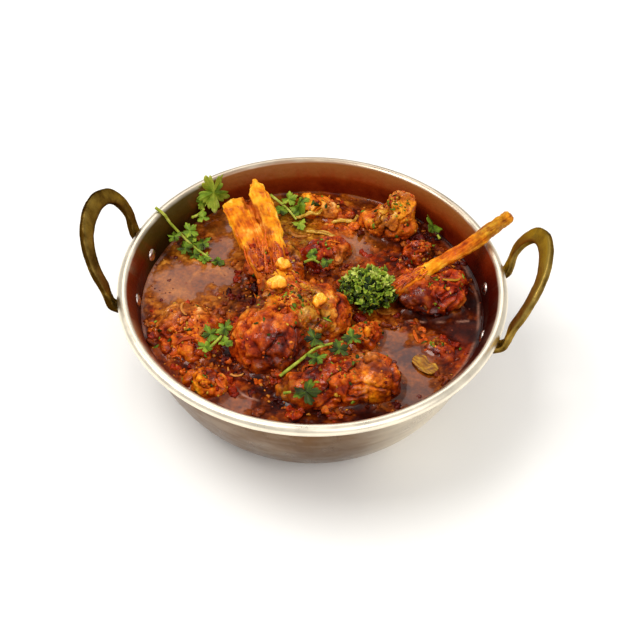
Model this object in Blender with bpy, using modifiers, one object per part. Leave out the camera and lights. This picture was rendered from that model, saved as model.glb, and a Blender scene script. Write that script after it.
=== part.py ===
"""Goat curry in a small steel karahi with two brass loop handles.

The frame is in metres with +Z up. The origin is the centre of the flat base, +X runs towards the handle beside
the rib bone, and +Y runs away from the eater. Sizes in this script are in millimetres, and MM turns them to
metres as each mesh is made.

The karahi is turned, its handles are flat bars carried along a bent path, and four rivets hold them. The gravy
fills the karahi up to its level and is cut round every piece that stands in it. Each piece of meat is a few
ellipsoid lobes run together. Herbs are thin wavy leaves and round stems, laid on what is under them.
"""

import math

import bmesh
import bpy
import numpy as np
from mathutils import Vector
from mathutils.bvhtree import BVHTree

MM = 0.001
GAP = 0.3  # clear space between two pieces that touch
CUT_GAP = GAP + 0.05  # facets come a little nearer than the surfaces they stand for
MERGE = 0.00001  # metres, for modifiers that merge vertices

# Karahi
RIM_HEIGHT = 52.0
BASE_RADIUS = 44.5  # the flat that it stands on
SHOULDER_RADIUS = 70.2  # outside, where the side would stand upright at the rim's height
SHOULDER_HEIGHT = 46.4  # the side ends here and runs over into the rim
SIDE_POWER = 1.7  # superellipse power of the side between base and shoulder
STEEL = 1.2
BEAD_RADIUS = 2.2  # rolled rim
BEAD_CENTRE = (73.4, RIM_HEIGHT - BEAD_RADIUS)
BEAD_START = 150.0  # degrees, where the inner wall meets the bead
BEAD_END = -95.0  # degrees, where the outer wall leaves it
SIDE_POINTS = 7
BEAD_POINTS = 7
SEGMENTS = 38
CURVE_STEPS = 24  # fine points between two way points of a smooth path
GOLDEN_ANGLE = math.pi * (3.0 - math.sqrt(5.0))

# Gravy
GRAVY_LEVEL = 38.0
MENISCUS = 0.8  # how far the gravy creeps up the wall

# Handles. A foot lies flat on the wall; LEG_PATH goes on from there to the top of the loop, on the +X side.
FOOT_ANGLE = 10.9  # degrees from the X axis
FOOT_HEIGHT = 43.3
FOOT_RADIUS = 3.7
FOOT_CURVE = 0.15  # extra room between the flat foot and the round wall
LEG_PATH = [
    (72.0, 19.0, 44.8),
    (74.8, 20.1, 47.2),
    (75.8, 20.5, 50.5),
    (77.0, 20.8, 57.5),
    (79.6, 20.0, 63.8),
    (82.4, 16.6, 69.6),
    (84.9, 9.4, 73.9),
    (85.7, 0.0, 75.3),
]
LOOP_BASE = (75.8, 50.5)  # x and z above which the loop is stretched
HANDLES = {"handle_right": (1.0, 1.06), "handle_left": (-1.0, 0.98)}  # side, stretch of the loop
BAR_THICKNESS = 2.6
BAR_HALF_WIDTH = 2.6  # at the leg
TOP_HALF_WIDTH = 3.7
LEG_START = 2.4  # foot radii along the bar, where the foot has narrowed to the leg
LOOP_LEAN = 28.0  # degrees from upright
BAR_ROUNDING = 0.7
HANDLE_STATION = 5.0  # between points along the bar
RIVET_RADIUS = 1.5
RIVET_HEAD = 2.7
RIVET_CROWN = 1.3
RIVET_SIDES = 8
RIVET_SLACK = 0.4  # room for the foot, which bends away from the wall

# Meat: each piece is lobes of (centre), (half-axes) that all hold the middle of the piece
MEAT = {
    "meat_shank": [
        ((-13.5, -26.0, 41.0), (16.5, 16.5, 15.0)),
        ((2.5, -8.0, 40.5), (16.0, 14.0, 13.5)),
        ((-13.0, -1.0, 42.5), (10.5, 14.5, 12.3)),
        ((-8.0, -13.0, 44.0), (14.0, 14.0, 12.5)),
    ],
    "meat_front": [
        ((6.0, -47.0, 39.5), (15.0, 9.0, 8.5)),
        ((16.0, -42.0, 41.0), (14.0, 11.5, 11.5)),
        ((27.5, -38.5, 41.0), (13.0, 11.5, 11.0)),
    ],
    "meat_rib": [
        ((47.0, 7.5, 41.5), (13.0, 10.5, 10.0)),
        ((38.5, 9.0, 42.5), (10.5, 8.0, 8.0)),
        ((53.0, 13.5, 41.0), (9.5, 9.5, 9.0)),
    ],
    "meat_left": [
        ((-46.5, -19.5, 38.5), (13.5, 12.5, 7.5)),
        ((-40.0, -28.5, 38.5), (11.0, 10.5, 7.0)),
        ((-49.0, -26.5, 38.0), (10.5, 11.0, 6.0)),
    ],
    "meat_back_right": [
        ((27.5, 47.0, 42.0), (12.0, 9.0, 9.5)),
        ((30.5, 52.0, 47.5), (7.5, 7.0, 9.0)),
        ((21.5, 48.5, 40.5), (9.5, 6.5, 6.5)),
    ],
    "meat_neck": [
        ((-21.0, 13.5, 42.0), (10.5, 9.0, 8.5)),
        ((-12.5, 14.5, 41.5), (9.5, 8.0, 8.5)),
        ((-13.5, 22.0, 41.0), (7.5, 8.5, 7.5)),
    ],
    "meat_back": [((-7.0, 55.0, 39.5), (9.0, 7.0, 7.5)), ((-0.5, 54.0, 39.0), (7.5, 5.5, 5.5))],
    "meat_middle": [((-0.5, 25.5, 39.5), (9.0, 8.0, 8.0)), ((5.0, 30.0, 39.0), (8.5, 7.5, 7.0))],
    "meat_right_small": [((40.0, 31.5, 40.0), (6.5, 6.0, 6.5))],
    "meat_front_small": [((21.5, -17.5, 41.0), (6.0, 6.0, 7.0)), ((24.5, -15.0, 39.5), (5.5, 5.5, 5.0))],
    "meat_front_left": [((-35.5, -47.0, 38.5), (8.0, 6.5, 6.5)), ((-31.0, -49.0, 38.5), (6.5, 5.5, 5.0))],
    "meat_right_low": [((53.0, -17.0, 36.8), (7.5, 7.0, 4.0)), ((49.0, -14.5, 36.8), (6.0, 5.5, 3.5))],
}
LARGE_MEAT = ("meat_shank",)
MIDDLING_MEAT = ("meat_front", "meat_rib", "meat_left", "meat_back_right")
MESH_LEVELS = {"large": (20, 13), "middling": (14, 9), "small": (11, 7), "bit": (8, 5)}  # segments, rings
LOBE_BLEND = 1.6  # how softly two lobes run together
UNEVEN = 0.8  # height of the meat's low lumps
LUMP_LENGTH = 8.5  # from one low lump to the next

# Bones: stations of (centre), half-width, half-thickness
SHANK_PLATE = [
    ((-38.0, 39.6, 52.2), 5.2, 1.4),
    ((-35.6, 36.0, 51.5), 5.8, 2.0),
    ((-32.7, 31.8, 50.4), 6.1, 2.4),
    ((-27.9, 23.6, 48.4), 6.1, 2.7),
    ((-22.5, 14.5, 46.0), 5.4, 2.8),
    ((-18.5, 6.5, 43.5), 4.4, 2.6),
]
SHANK_RIDGE = [
    ((-30.6, 50.6, 55.6), 0.9, 0.7),
    ((-29.0, 45.0, 54.6), 3.6, 1.7),
    ((-26.0, 38.5, 53.2), 4.4, 2.5),
    ((-21.9, 30.0, 51.3), 4.2, 2.9),
    ((-18.2, 22.0, 49.4), 3.7, 3.0),
    ((-15.5, 13.5, 47.3), 3.5, 3.0),
    ((-13.5, 6.5, 45.0), 3.2, 2.8),
]
RIB_BONE = [
    ((31.9, 4.9, 45.0), 2.9, 2.3),
    ((35.5, 7.3, 47.0), 3.2, 2.6),
    ((42.8, 13.7, 49.0), 2.9, 2.4),
    ((52.0, 20.5, 51.5), 2.6, 2.2),
    ((61.3, 27.0, 54.9), 3.0, 2.5),
    ((67.9, 33.9, 57.2), 2.8, 2.3),
    ((73.5, 39.1, 59.2), 2.5, 2.1),
]
BONE_SIDES = 10
BONE_STATION = 4.5

# Pale bits that sit in the meat: (centre), (half-axes)
GARLIC = {
    "garlic_right": ((4.4, -13.6, 54.2), (2.7, 3.5, 2.2)),
    "garlic_middle": ((-12.7, -8.9, 56.3), (3.6, 3.4, 2.2)),
    "garlic_back": ((-11.8, 3.0, 54.6), (2.6, 2.6, 2.0)),
}

# Slivers of ginger and onion: way points on the food, (width, thickness)
SLIVERS = {
    "ginger_back": ([(-15.0, 49.5), (-9.0, 48.2), (-2.5, 49.0)], (1.9, 1.1)),
    "ginger_middle": ([(-7.5, 40.0), (-1.3, 40.6), (5.5, 38.2)], (1.8, 1.1)),
    "ginger_right": ([(2.0, 47.2), (6.9, 49.6), (12.5, 48.6)], (1.8, 1.1)),
    "onion_right": ([(43.0, -22.0), (46.0, -27.0), (51.0, -29.0)], (6.0, 0.9)),
}

# Sprigs: stem way points, then leaves of (place along the stem, heading, rise, roll, length, lobes)
SPRIGS = {
    "cilantro_leaf_rim": (
        [(-54.8, 35.8, 45.0), (-53.1, 38.7, 44.0), (-51.0, 42.0, 44.5)],
        [(1.0, 67.0, 29.0, 64.0, 16.5, 5), (0.75, 89.0, 32.0, 64.0, 8.0, 5), (0.4, -13.0, 0.0, 15.0, 6.0, 3)],
    ),
    "cilantro_sprig_left": (
        [(-68.4, 30.2, 53.4), (-60.5, 27.4, 46.0), (-52.5, 24.0, 40.0), (-44.0, 18.6, 38.8)],
        [
            (0.50, 50.0, 12.0, 10.0, 7.5, 5),
            (0.60, -100.0, 0.0, 0.0, 7.5, 5),
            (0.72, 45.0, 8.0, 0.0, 7.5, 5),
            (0.85, -70.0, 0.0, 0.0, 7.0, 3),
            (1.0, -20.0, 0.0, 0.0, 6.5, 3),
        ],
    ),
    "cilantro_left": (
        [(-34.5, -34.0, 44.0), (-32.5, -31.5, 45.0), (-31.0, -29.0, 45.5)],
        [
            (0.2, 215.0, 10.0, 0.0, 6.5, 5),
            (0.5, 130.0, 20.0, 0.0, 7.5, 5),
            (1.0, 75.0, 20.0, 0.0, 7.0, 5),
            (0.7, -20.0, 5.0, 0.0, 6.0, 3),
        ],
    ),
    "cilantro_sprig_front": (
        [(-5.6, -49.6, 50.0), (0.6, -43.6, 52.5), (6.4, -36.6, 53.0), (15.0, -29.5, 50.0)],
        [
            (0.50, -50.0, 5.0, 0.0, 7.5, 5),
            (0.62, 120.0, 15.0, 0.0, 8.0, 5),
            (0.80, -35.0, 5.0, 0.0, 8.5, 5),
            (1.0, 35.0, 5.0, 0.0, 8.0, 5),
        ],
    ),
    "cilantro_sprig_back": (
        [(-25.5, 59.0, 41.0), (-18.0, 52.5, 40.5), (-13.0, 46.5, 40.0)],
        [
            (0.3, 20.0, 15.0, 0.0, 8.0, 5),
            (0.55, -130.0, 10.0, 0.0, 7.0, 3),
            (0.75, 25.0, 10.0, 0.0, 8.0, 5),
            (1.0, -60.0, 5.0, 0.0, 7.0, 3),
        ],
    ),
    "cilantro_middle": (
        [(-5.5, 17.0, 44.0), (-2.5, 18.0, 45.0), (0.5, 16.5, 45.0)],
        [(0.3, 70.0, 15.0, 0.0, 5.5, 3), (1.0, 10.0, 10.0, 0.0, 6.0, 3)],
    ),
    "leaf_front": ([(-3.5, -55.0, 47.0), (-1.0, -54.5, 47.5)], [(1.0, 8.0, 0.0, 0.0, 11.0, 3)]),
    "leaf_right_back": ([(47.5, 41.0, 42.0), (46.5, 42.5, 42.5)], [(1.0, 125.0, 25.0, 30.0, 9.0, 3)]),
}
STEM_RADIUS = 0.65
LEAF_THICKNESS = 0.5
LEAF_WAVE = 0.45
STANDING_ROLL = 30.0  # degrees, past which a leaf leans on the wall and isn't laid on the food
WALL_TILT = 1.25  # level distance to the leaning wall for each unit of clearance
PUSHES = 6  # most times that a point is moved off what is beside it
DRAPE_SLACK = 0.25  # for the flat facets between points that rest on the food
STATION = 2.1  # between points along a stem or a sliver
STEM_REACH = 1.2  # how far around a point the food under it counts
LEAF_REACH = 1.4

# The curly heap of cilantro between the shank and the rib meat
TUFT_CORE = [((21.8, 5.0, 42.5), (8.5, 8.0, 7.5))]
TUFT_LEAVES = 13
TUFT_SPREAD = 8.2
TUFT_LEAF = 6.6
TUFT_LOBES = 3

# Chopped cilantro stuck on the shank
FLAKES = 12
FLAKE_SPREAD = 17.0
FLAKE_RADIUS = 1.5
FLAKE_HEIGHT = 0.9
FLAKE_SIDES = 5

COLOURS = {  # sRGB red, green, blue, then roughness and metallic
    "steel": ((0.62, 0.58, 0.50), 0.30, 1.0),
    "brass": ((0.48, 0.38, 0.20), 0.42, 1.0),
    "rivet_steel": ((0.72, 0.68, 0.66), 0.25, 1.0),
    "gravy": ((0.42, 0.13, 0.04), 0.12, 0.0),
    "meat": ((0.70, 0.34, 0.11), 0.30, 0.0),
    "bone": ((0.96, 0.66, 0.22), 0.35, 0.0),
    "cilantro": ((0.36, 0.52, 0.12), 0.40, 0.0),
    "garlic": ((0.95, 0.80, 0.38), 0.35, 0.0),
    "ginger": ((0.84, 0.72, 0.40), 0.40, 0.0),
}

RNG = np.random.default_rng(7)


# ---------------------------------------------------------------- scene, materials, meshes


def clear_scene():
    for obj in list(bpy.data.objects):
        bpy.data.objects.remove(obj, do_unlink=True)


def new_collection(name):
    collection = bpy.data.collections.new(name)
    bpy.context.scene.collection.children.link(collection)
    return collection


def srgb_to_linear(value):
    return value / 12.92 if value <= 0.04045 else ((value + 0.055) / 1.055) ** 2.4


def make_materials():
    materials = {}
    for name, (colour, roughness, metallic) in COLOURS.items():
        material = bpy.data.materials.new(name)
        material.use_nodes = True
        shader = material.node_tree.nodes["Principled BSDF"]
        shader.inputs["Base Color"].default_value = [*map(srgb_to_linear, colour), 1.0]
        shader.inputs["Roughness"].default_value = roughness
        shader.inputs["Metallic"].default_value = metallic
        materials[name] = material
    return materials


def add_mesh(name, points, faces, collection, edges=()):
    """A new object from points in millimetres."""
    mesh = bpy.data.meshes.new(name)
    scaled = (np.asarray(points, dtype=float) * MM).tolist()
    mesh.from_pydata(scaled, list(edges), [list(map(int, face)) for face in faces])
    mesh.update()
    obj = bpy.data.objects.new(name, mesh)
    collection.objects.link(obj)
    return obj


def freeze(obj):
    """Apply the object's modifiers."""
    bpy.context.view_layer.update()
    evaluated = obj.evaluated_get(bpy.context.evaluated_depsgraph_get())
    mesh = bpy.data.meshes.new_from_object(evaluated)
    old = obj.data
    obj.modifiers.clear()
    obj.data = mesh
    bpy.data.meshes.remove(old)
    return obj


def finish(obj, material, sharp_degrees=None):
    obj.data.materials.clear()
    obj.data.materials.append(material)
    obj.data.shade_smooth()
    if sharp_degrees is not None:
        obj.data.set_sharp_from_angle(angle=math.radians(sharp_degrees))
    return obj


def mesh_points(obj):
    points = np.empty(len(obj.data.vertices) * 3)
    obj.data.vertices.foreach_get("co", points)
    return points.reshape(-1, 3) / MM


def split_to_triangles(shape):
    """Split every face, so that a cut and the piece that fills it bend along the same lines."""
    bmesh.ops.triangulate(shape, faces=shape.faces, quad_method="FIXED", ngon_method="BEAUTY")


def keep_largest_piece(obj):
    """Drop the loose scraps that a cut leaves."""
    shape = bmesh.new()
    shape.from_mesh(obj.data)
    shape.verts.ensure_lookup_table()
    shape.verts.index_update()
    piece_of = {}
    pieces = []
    for start in shape.verts:
        if start.index in piece_of:
            continue
        piece = [start]
        piece_of[start.index] = len(pieces)
        for vert in piece:
            for edge in vert.link_edges:
                other = edge.other_vert(vert)
                if other.index not in piece_of:
                    piece_of[other.index] = len(pieces)
                    piece.append(other)
        pieces.append(piece)
    largest = max(pieces, key=len)
    scraps = [vert for piece in pieces if piece is not largest for vert in piece]
    bmesh.ops.delete(shape, geom=scraps, context="VERTS")
    split_to_triangles(shape)
    shape.to_mesh(obj.data)
    shape.free()


def carve(obj, cutters):
    """Cut every cutter from the object."""
    for cutter in cutters:
        cut = obj.modifiers.new(cutter.name, "BOOLEAN")
        cut.operation = "DIFFERENCE"
        cut.object = cutter
    freeze(obj)
    keep_largest_piece(obj)
    return obj


def fuse(obj, others):
    """Join others to the object with one Boolean union."""
    group = new_collection(obj.name + "_parts")
    for other in others:
        for holder in list(other.users_collection):
            holder.objects.unlink(other)
        group.objects.link(other)
    union = obj.modifiers.new("fuse", "BOOLEAN")
    union.operation = "UNION"
    union.operand_type = "COLLECTION"
    union.collection = group
    freeze(obj)
    for other in list(group.objects):
        bpy.data.objects.remove(other, do_unlink=True)
    bpy.data.collections.remove(group)
    keep_largest_piece(obj)
    return obj


# ---------------------------------------------------------------- karahi, gravy, handles, rivets


def side_profile(offset):
    """The side from base to shoulder, moved inwards by offset along its normal."""
    power = 2.0 / SIDE_POWER
    last_turn = math.acos((1.0 - SHOULDER_HEIGHT / RIM_HEIGHT) ** (1.0 / power))
    turn = np.linspace(0.0, last_turn, SIDE_POINTS)
    radius = BASE_RADIUS + (SHOULDER_RADIUS - BASE_RADIUS) * np.sin(turn) ** power
    height = RIM_HEIGHT * (1.0 - np.cos(turn) ** power)
    run_radius = np.gradient(radius)
    run_height = np.gradient(height)
    run_radius[0], run_height[0] = 1.0, 0.0
    length = np.hypot(run_radius, run_height)
    inward_radius = radius - offset * run_height / length
    inward_height = height + offset * run_radius / length
    return list(zip(inward_radius, inward_height))


def wall_at(height, offset):
    """Radius of the side at a height, and its outward normal as (radial, upward)."""
    radii, heights = np.array(side_profile(offset)).T
    slope = np.interp(height, heights, np.gradient(radii, heights))
    return float(np.interp(height, heights, radii)), unit(np.array([1.0, -slope]))


def foot_place(side, y_side):
    """Where a handle's foot is riveted: a point in the middle of the wall, and the wall's outward normal."""
    angle = math.radians(FOOT_ANGLE)
    outward = np.array([side * math.cos(angle), y_side * math.sin(angle), 0.0])
    radius, (radial, upward) = wall_at(FOOT_HEIGHT, STEEL / 2)
    normal = outward * radial + np.array([0.0, 0.0, upward])
    return outward * radius + np.array([0.0, 0.0, FOOT_HEIGHT]), normal


def turned(name, profile, collection):
    """Turn a profile of (radius, height) that runs down its outer side."""
    points = [(radius, 0.0, height) for radius, height in profile]
    edges = [(i, i + 1) for i in range(len(points) - 1)]
    obj = add_mesh(name, points, [], collection, edges)
    screw = obj.modifiers.new("turn", "SCREW")
    screw.axis = "Z"
    screw.angle = math.tau
    screw.steps = SEGMENTS
    screw.render_steps = SEGMENTS
    screw.use_merge_vertices = True
    screw.merge_threshold = MERGE
    return freeze(obj)


def bead_point(degrees):
    turn = math.radians(degrees)
    return BEAD_CENTRE[0] + BEAD_RADIUS * math.cos(turn), BEAD_CENTRE[1] + BEAD_RADIUS * math.sin(turn)


def make_karahi(collection):
    inner = side_profile(STEEL)
    outer = side_profile(0.0)
    bead = [bead_point(degrees) for degrees in np.linspace(BEAD_START, BEAD_END, BEAD_POINTS)]
    profile = [(0.0, STEEL), *inner, *bead, *reversed(outer), (0.0, 0.0)]
    return turned("karahi", profile, collection)


def make_gravy(collection):
    wall = [point for point in side_profile(STEEL + GAP) if point[1] < GRAVY_LEVEL - 1.0]
    edge, _ = wall_at(GRAVY_LEVEL + MENISCUS, STEEL + GAP)
    top = [(0.0, GRAVY_LEVEL), (edge - 6.0, GRAVY_LEVEL), (edge - 1.6, GRAVY_LEVEL + 0.25 * MENISCUS)]
    top.append((edge, GRAVY_LEVEL + MENISCUS))
    return turned("gravy", [*top, *reversed(wall), (0.0, STEEL + GAP)], collection)


def smooth_path(way_points, spacing):
    """Points on a Catmull-Rom curve through the way points, evenly spaced."""
    way = np.asarray(way_points, dtype=float)
    ends = np.vstack([2 * way[0] - way[1], way, 2 * way[-1] - way[-2]])
    fine = []
    t = np.linspace(0.0, 1.0, CURVE_STEPS, endpoint=False)[:, None]
    for a, b, c, d in zip(ends, ends[1:], ends[2:], ends[3:]):
        fine.append(0.5 * (2 * b + (c - a) * t + (2 * a - 5 * b + 4 * c - d) * t**2 + (3 * b - a - 3 * c + d) * t**3))
    fine = np.vstack([*fine, way[-1:]])
    along = np.concatenate([[0.0], np.cumsum(np.linalg.norm(np.diff(fine, axis=0), axis=1))])
    count = max(3, round(along[-1] / spacing) + 1)
    stations = np.linspace(0.0, along[-1], count)
    return np.column_stack([np.interp(stations, along, fine[:, axis]) for axis in range(fine.shape[1])])


def unit(vectors):
    return vectors / np.linalg.norm(vectors, axis=-1, keepdims=True)


def handle_path(stretch):
    """Both legs and the loop, with the loop stretched above the rim."""
    wall, normal = foot_place(1.0, 1.0)
    foot = wall + normal * (STEEL / 2 + GAP + FOOT_CURVE + BAR_THICKNESS / 2)
    along_wall = unit(np.array([-foot[1], foot[0], 0.0]))
    leg = np.vstack([foot + along_wall * FOOT_RADIUS, LEG_PATH])
    above = leg[:, 2] > LOOP_BASE[1]
    leg[above, 0] = LOOP_BASE[0] + (leg[above, 0] - LOOP_BASE[0]) * stretch
    leg[above, 2] = LOOP_BASE[1] + (leg[above, 2] - LOOP_BASE[1]) * stretch
    over_there = np.array([1.0, -1.0, 1.0])
    loop = smooth_path(np.vstack([leg, leg[-2::-1] * over_there]), HANDLE_STATION)
    flat_foot = np.array([foot + along_wall * FOOT_RADIUS * share for share in (-1.0, -0.75, 0.0)])
    return np.vstack([flat_foot, loop, flat_foot[::-1] * over_there])


def bar_half_widths(path):
    """Round feet, narrow legs and a broad top of the loop."""
    step = np.linalg.norm(np.diff(path, axis=0), axis=1)
    along = np.concatenate([[0.0], np.cumsum(step)])
    from_end = np.minimum(along, along[-1] - along)
    half = along[-1] / 2
    leg_start = LEG_START * FOOT_RADIUS
    return np.interp(
        from_end,
        [0.0, 0.25 * FOOT_RADIUS, FOOT_RADIUS, leg_start, 0.45 * half, half],
        [0.35 * FOOT_RADIUS, 0.7 * FOOT_RADIUS, FOOT_RADIUS, BAR_HALF_WIDTH, BAR_HALF_WIDTH, TOP_HALF_WIDTH],
    )


def make_handle(name, side, stretch, collection):
    """A flat bar bent the hard way: an open strip with Solidify and Bevel."""
    path = handle_path(stretch)
    along = unit(np.gradient(path, axis=0))
    lean = math.radians(LOOP_LEAN)
    loop_normal = np.array([math.cos(lean), 0.0, -math.sin(lean)])
    wall_normal = unit(path * np.array([1.0, 1.0, 0.0])) + np.array([0.0, 0.0, foot_place(1.0, 1.0)[1][2]])
    share = np.clip((path[:, 2] - FOOT_HEIGHT - 1.0) / (RIM_HEIGHT + 4.0 - FOOT_HEIGHT), 0.0, 1.0)[:, None]
    normal = unit(wall_normal * (1.0 - share) + loop_normal * share)
    normal = unit(normal - along * np.sum(normal * along, axis=1, keepdims=True))
    across = np.cross(along, normal) * bar_half_widths(path)[:, None]
    points = np.vstack([path + across, path - across])
    points[:, 0] *= side
    count = len(path)
    faces = [(i, i + 1, count + i + 1, count + i) for i in range(count - 1)]
    if side < 0:
        faces = [face[::-1] for face in faces]
    obj = add_mesh(name, points, faces, collection)
    solid = obj.modifiers.new("thickness", "SOLIDIFY")
    solid.thickness = BAR_THICKNESS * MM
    solid.offset = 0.0
    bevel = obj.modifiers.new("rounding", "BEVEL")
    bevel.width = BAR_ROUNDING * MM
    bevel.segments = 1
    bevel.limit_method = "ANGLE"
    bevel.angle_limit = math.radians(50.0)
    return freeze(obj)


def rivet_places():
    """(name, centre in the wall, outward direction) of each rivet."""
    places = []
    for handle, (side, _) in HANDLES.items():
        for end, y_side in (("front", -1.0), ("back", 1.0)):
            centre, outward = foot_place(side, y_side)
            places.append((f"rivet_{handle[7:]}_{end}", Vector(centre), Vector(outward)))
    return places


def lathe_along(name, profile, centre, direction, sides, collection):
    """A turned solid of (radius, distance) pairs, with its axis along direction."""
    shape = bmesh.new()
    frame = direction.to_track_quat("Z", "Y")
    rings = []
    for radius, distance in profile:
        ring = []
        for k in range(sides if radius > 0.0 else 1):
            turn = math.tau * k / sides
            point = Vector((radius * math.cos(turn), radius * math.sin(turn), distance))
            ring.append(shape.verts.new((centre + frame @ point) * MM))
        rings.append(ring)
    for low, high in zip(rings, rings[1:]):
        for k in range(sides):
            corners = [low[k % len(low)], low[(k + 1) % len(low)], high[(k + 1) % len(high)], high[k % len(high)]]
            shape.faces.new(list(dict.fromkeys(corners)))
    bmesh.ops.recalc_face_normals(shape, faces=shape.faces)
    mesh = bpy.data.meshes.new(name)
    shape.to_mesh(mesh)
    shape.free()
    obj = bpy.data.objects.new(name, mesh)
    collection.objects.link(obj)
    return obj


def make_rivet(name, centre, outward, collection):
    """Two domed heads and the shank that joins them through the wall and the handle's foot."""
    inner_face = -STEEL / 2 - GAP
    outer_face = STEEL / 2 + GAP + FOOT_CURVE + BAR_THICKNESS + GAP + RIVET_SLACK
    profile = [
        (0.0, inner_face - RIVET_CROWN),
        (0.6 * RIVET_HEAD, inner_face - 0.8 * RIVET_CROWN),
        (RIVET_HEAD, inner_face),
        (RIVET_RADIUS, inner_face),
        (RIVET_RADIUS, outer_face),
        (RIVET_HEAD, outer_face),
        (0.6 * RIVET_HEAD, outer_face + 0.7 * RIVET_CROWN),
        (0.0, outer_face + 0.9 * RIVET_CROWN),
    ]
    return lathe_along(name, profile, centre, outward, RIVET_SIDES, collection)


def make_rivet_hole(name, centre, outward, collection):
    reach = 8.0
    profile = [(0.0, -reach), (RIVET_RADIUS + GAP, -reach), (RIVET_RADIUS + GAP, reach), (0.0, reach)]
    return lathe_along(name + "_hole", profile, centre, outward, RIVET_SIDES, collection)


# ---------------------------------------------------------------- meat, bones, garlic


def unevenness(points, length):
    """Low seeded lumps between -1 and 1, from sine waves in several directions."""
    total = np.zeros(len(points))
    for k in range(5):
        turn = 2.4 * k
        direction = np.array([math.cos(turn), math.sin(turn), math.sin(1.7 * turn + 0.5)])
        total += np.sin(points @ direction * math.tau / length + 1.3 * k)
    return total / 3.0


def lump(name, lobes, collection, level="small", uneven=UNEVEN, grow=0.0):
    """A sphere whose points move out to the blended surface of the lobes, seen from their middle."""
    shape = bmesh.new()
    segments, rings = MESH_LEVELS[level]
    bmesh.ops.create_uvsphere(shape, u_segments=segments, v_segments=rings, radius=1.0)
    directions = unit(np.array([vert.co[:] for vert in shape.verts]))
    middle = np.mean([centre for centre, _ in lobes], axis=0)
    reach = np.zeros(len(directions))
    for centre, axes in lobes:
        start = (middle - np.array(centre)) / axes
        step = directions / axes
        a = np.sum(step * step, axis=1)
        b = np.sum(step * start, axis=1)
        c = start @ start - 1.0
        root = (-b + np.sqrt(np.maximum(b * b - a * c, 0.0))) / a
        reach += np.exp(root / LOBE_BLEND)
    reach = LOBE_BLEND * np.log(reach / len(lobes))
    points = middle + directions * reach[:, None]
    points += directions * (uneven * unevenness(points, LUMP_LENGTH))[:, None]
    for vert, point in zip(shape.verts, points):
        vert.co = point * MM
    split_to_triangles(shape)
    shape.normal_update()
    if grow:
        normals = [vert.normal.copy() for vert in shape.verts]
        for vert, normal in zip(shape.verts, normals):
            vert.co += normal * grow * MM
    mesh = bpy.data.meshes.new(name)
    shape.to_mesh(mesh)
    shape.free()
    obj = bpy.data.objects.new(name, mesh)
    collection.objects.link(obj)
    return obj


def loft(name, centres, half_widths, half_thicknesses, collection, sides=BONE_SIDES, squareness=2.4, grow=0.0):
    """A bar with a superellipse section that changes from station to station, its width lying level."""
    centres = np.asarray(centres, dtype=float)
    along = unit(np.gradient(centres, axis=0))
    if grow:
        centres = centres.copy()
        centres[0] -= along[0] * grow
        centres[-1] += along[-1] * grow
    across = unit(np.cross(along, [0.0, 0.0, 1.0]))
    up = np.cross(across, along)
    turn = np.arange(sides) * math.tau / sides
    power = 2.0 / squareness
    wide = np.sign(np.cos(turn)) * np.abs(np.cos(turn)) ** power
    tall = np.sign(np.sin(turn)) * np.abs(np.sin(turn)) ** power
    half_widths = np.asarray(half_widths) + grow
    half_thicknesses = np.asarray(half_thicknesses) + grow
    rings = (
        centres[:, None]
        + across[:, None] * (half_widths[:, None] * wide)[..., None]
        + up[:, None] * (half_thicknesses[:, None] * tall)[..., None]
    )
    points = rings.reshape(-1, 3)
    faces = []
    for i in range(len(centres) - 1):
        for k in range(sides):
            nxt = (k + 1) % sides
            faces.append((i * sides + k, i * sides + nxt, (i + 1) * sides + nxt, (i + 1) * sides + k))
    faces.append(tuple(range(sides))[::-1])
    last = (len(centres) - 1) * sides
    faces.append(tuple(range(last, last + sides)))
    obj = add_mesh(name, points, faces, collection)
    shape = bmesh.new()
    shape.from_mesh(obj.data)
    bmesh.ops.recalc_face_normals(shape, faces=shape.faces)
    split_to_triangles(shape)
    shape.to_mesh(obj.data)
    shape.free()
    return obj


def loft_stations(name, stations, collection, grow=0.0):
    """A bone through stations of (centre), half-width, half-thickness, with points between them."""
    table = np.array([(*centre, width, thick) for centre, width, thick in stations])
    smooth = smooth_path(table, BONE_STATION)
    return loft(name, smooth[:, :3], smooth[:, 3], smooth[:, 4], collection, grow=grow)


def make_shank_bone(name, collection, grow=0.0):
    """The split end of the shank bone: a broad plate and a pointed ridge."""
    plate = loft_stations(name, SHANK_PLATE, collection, grow)
    ridge = loft_stations(name + "_ridge", SHANK_RIDGE, collection, grow)
    return fuse(plate, [ridge])


def meat_level(name):
    """How fine a piece's mesh is, from its size."""
    if name in LARGE_MEAT:
        return "large"
    return "middling" if name in MIDDLING_MEAT else "small"


# ---------------------------------------------------------------- what lies on the food


def cavity_radius(height):
    """Inside radius of the karahi, up to where its wall meets the bead."""
    radii, heights = zip(*side_profile(STEEL), bead_point(BEAD_START))
    return float(np.interp(height, heights, radii))


def tree_of(objects):
    points = []
    faces = []
    for obj in objects:
        start = len(points)
        points.extend(Vector(point) for point in mesh_points(obj))
        faces.extend([start + v for v in polygon.vertices] for polygon in obj.data.polygons)
    return BVHTree.FromPolygons(points, faces)


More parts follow.
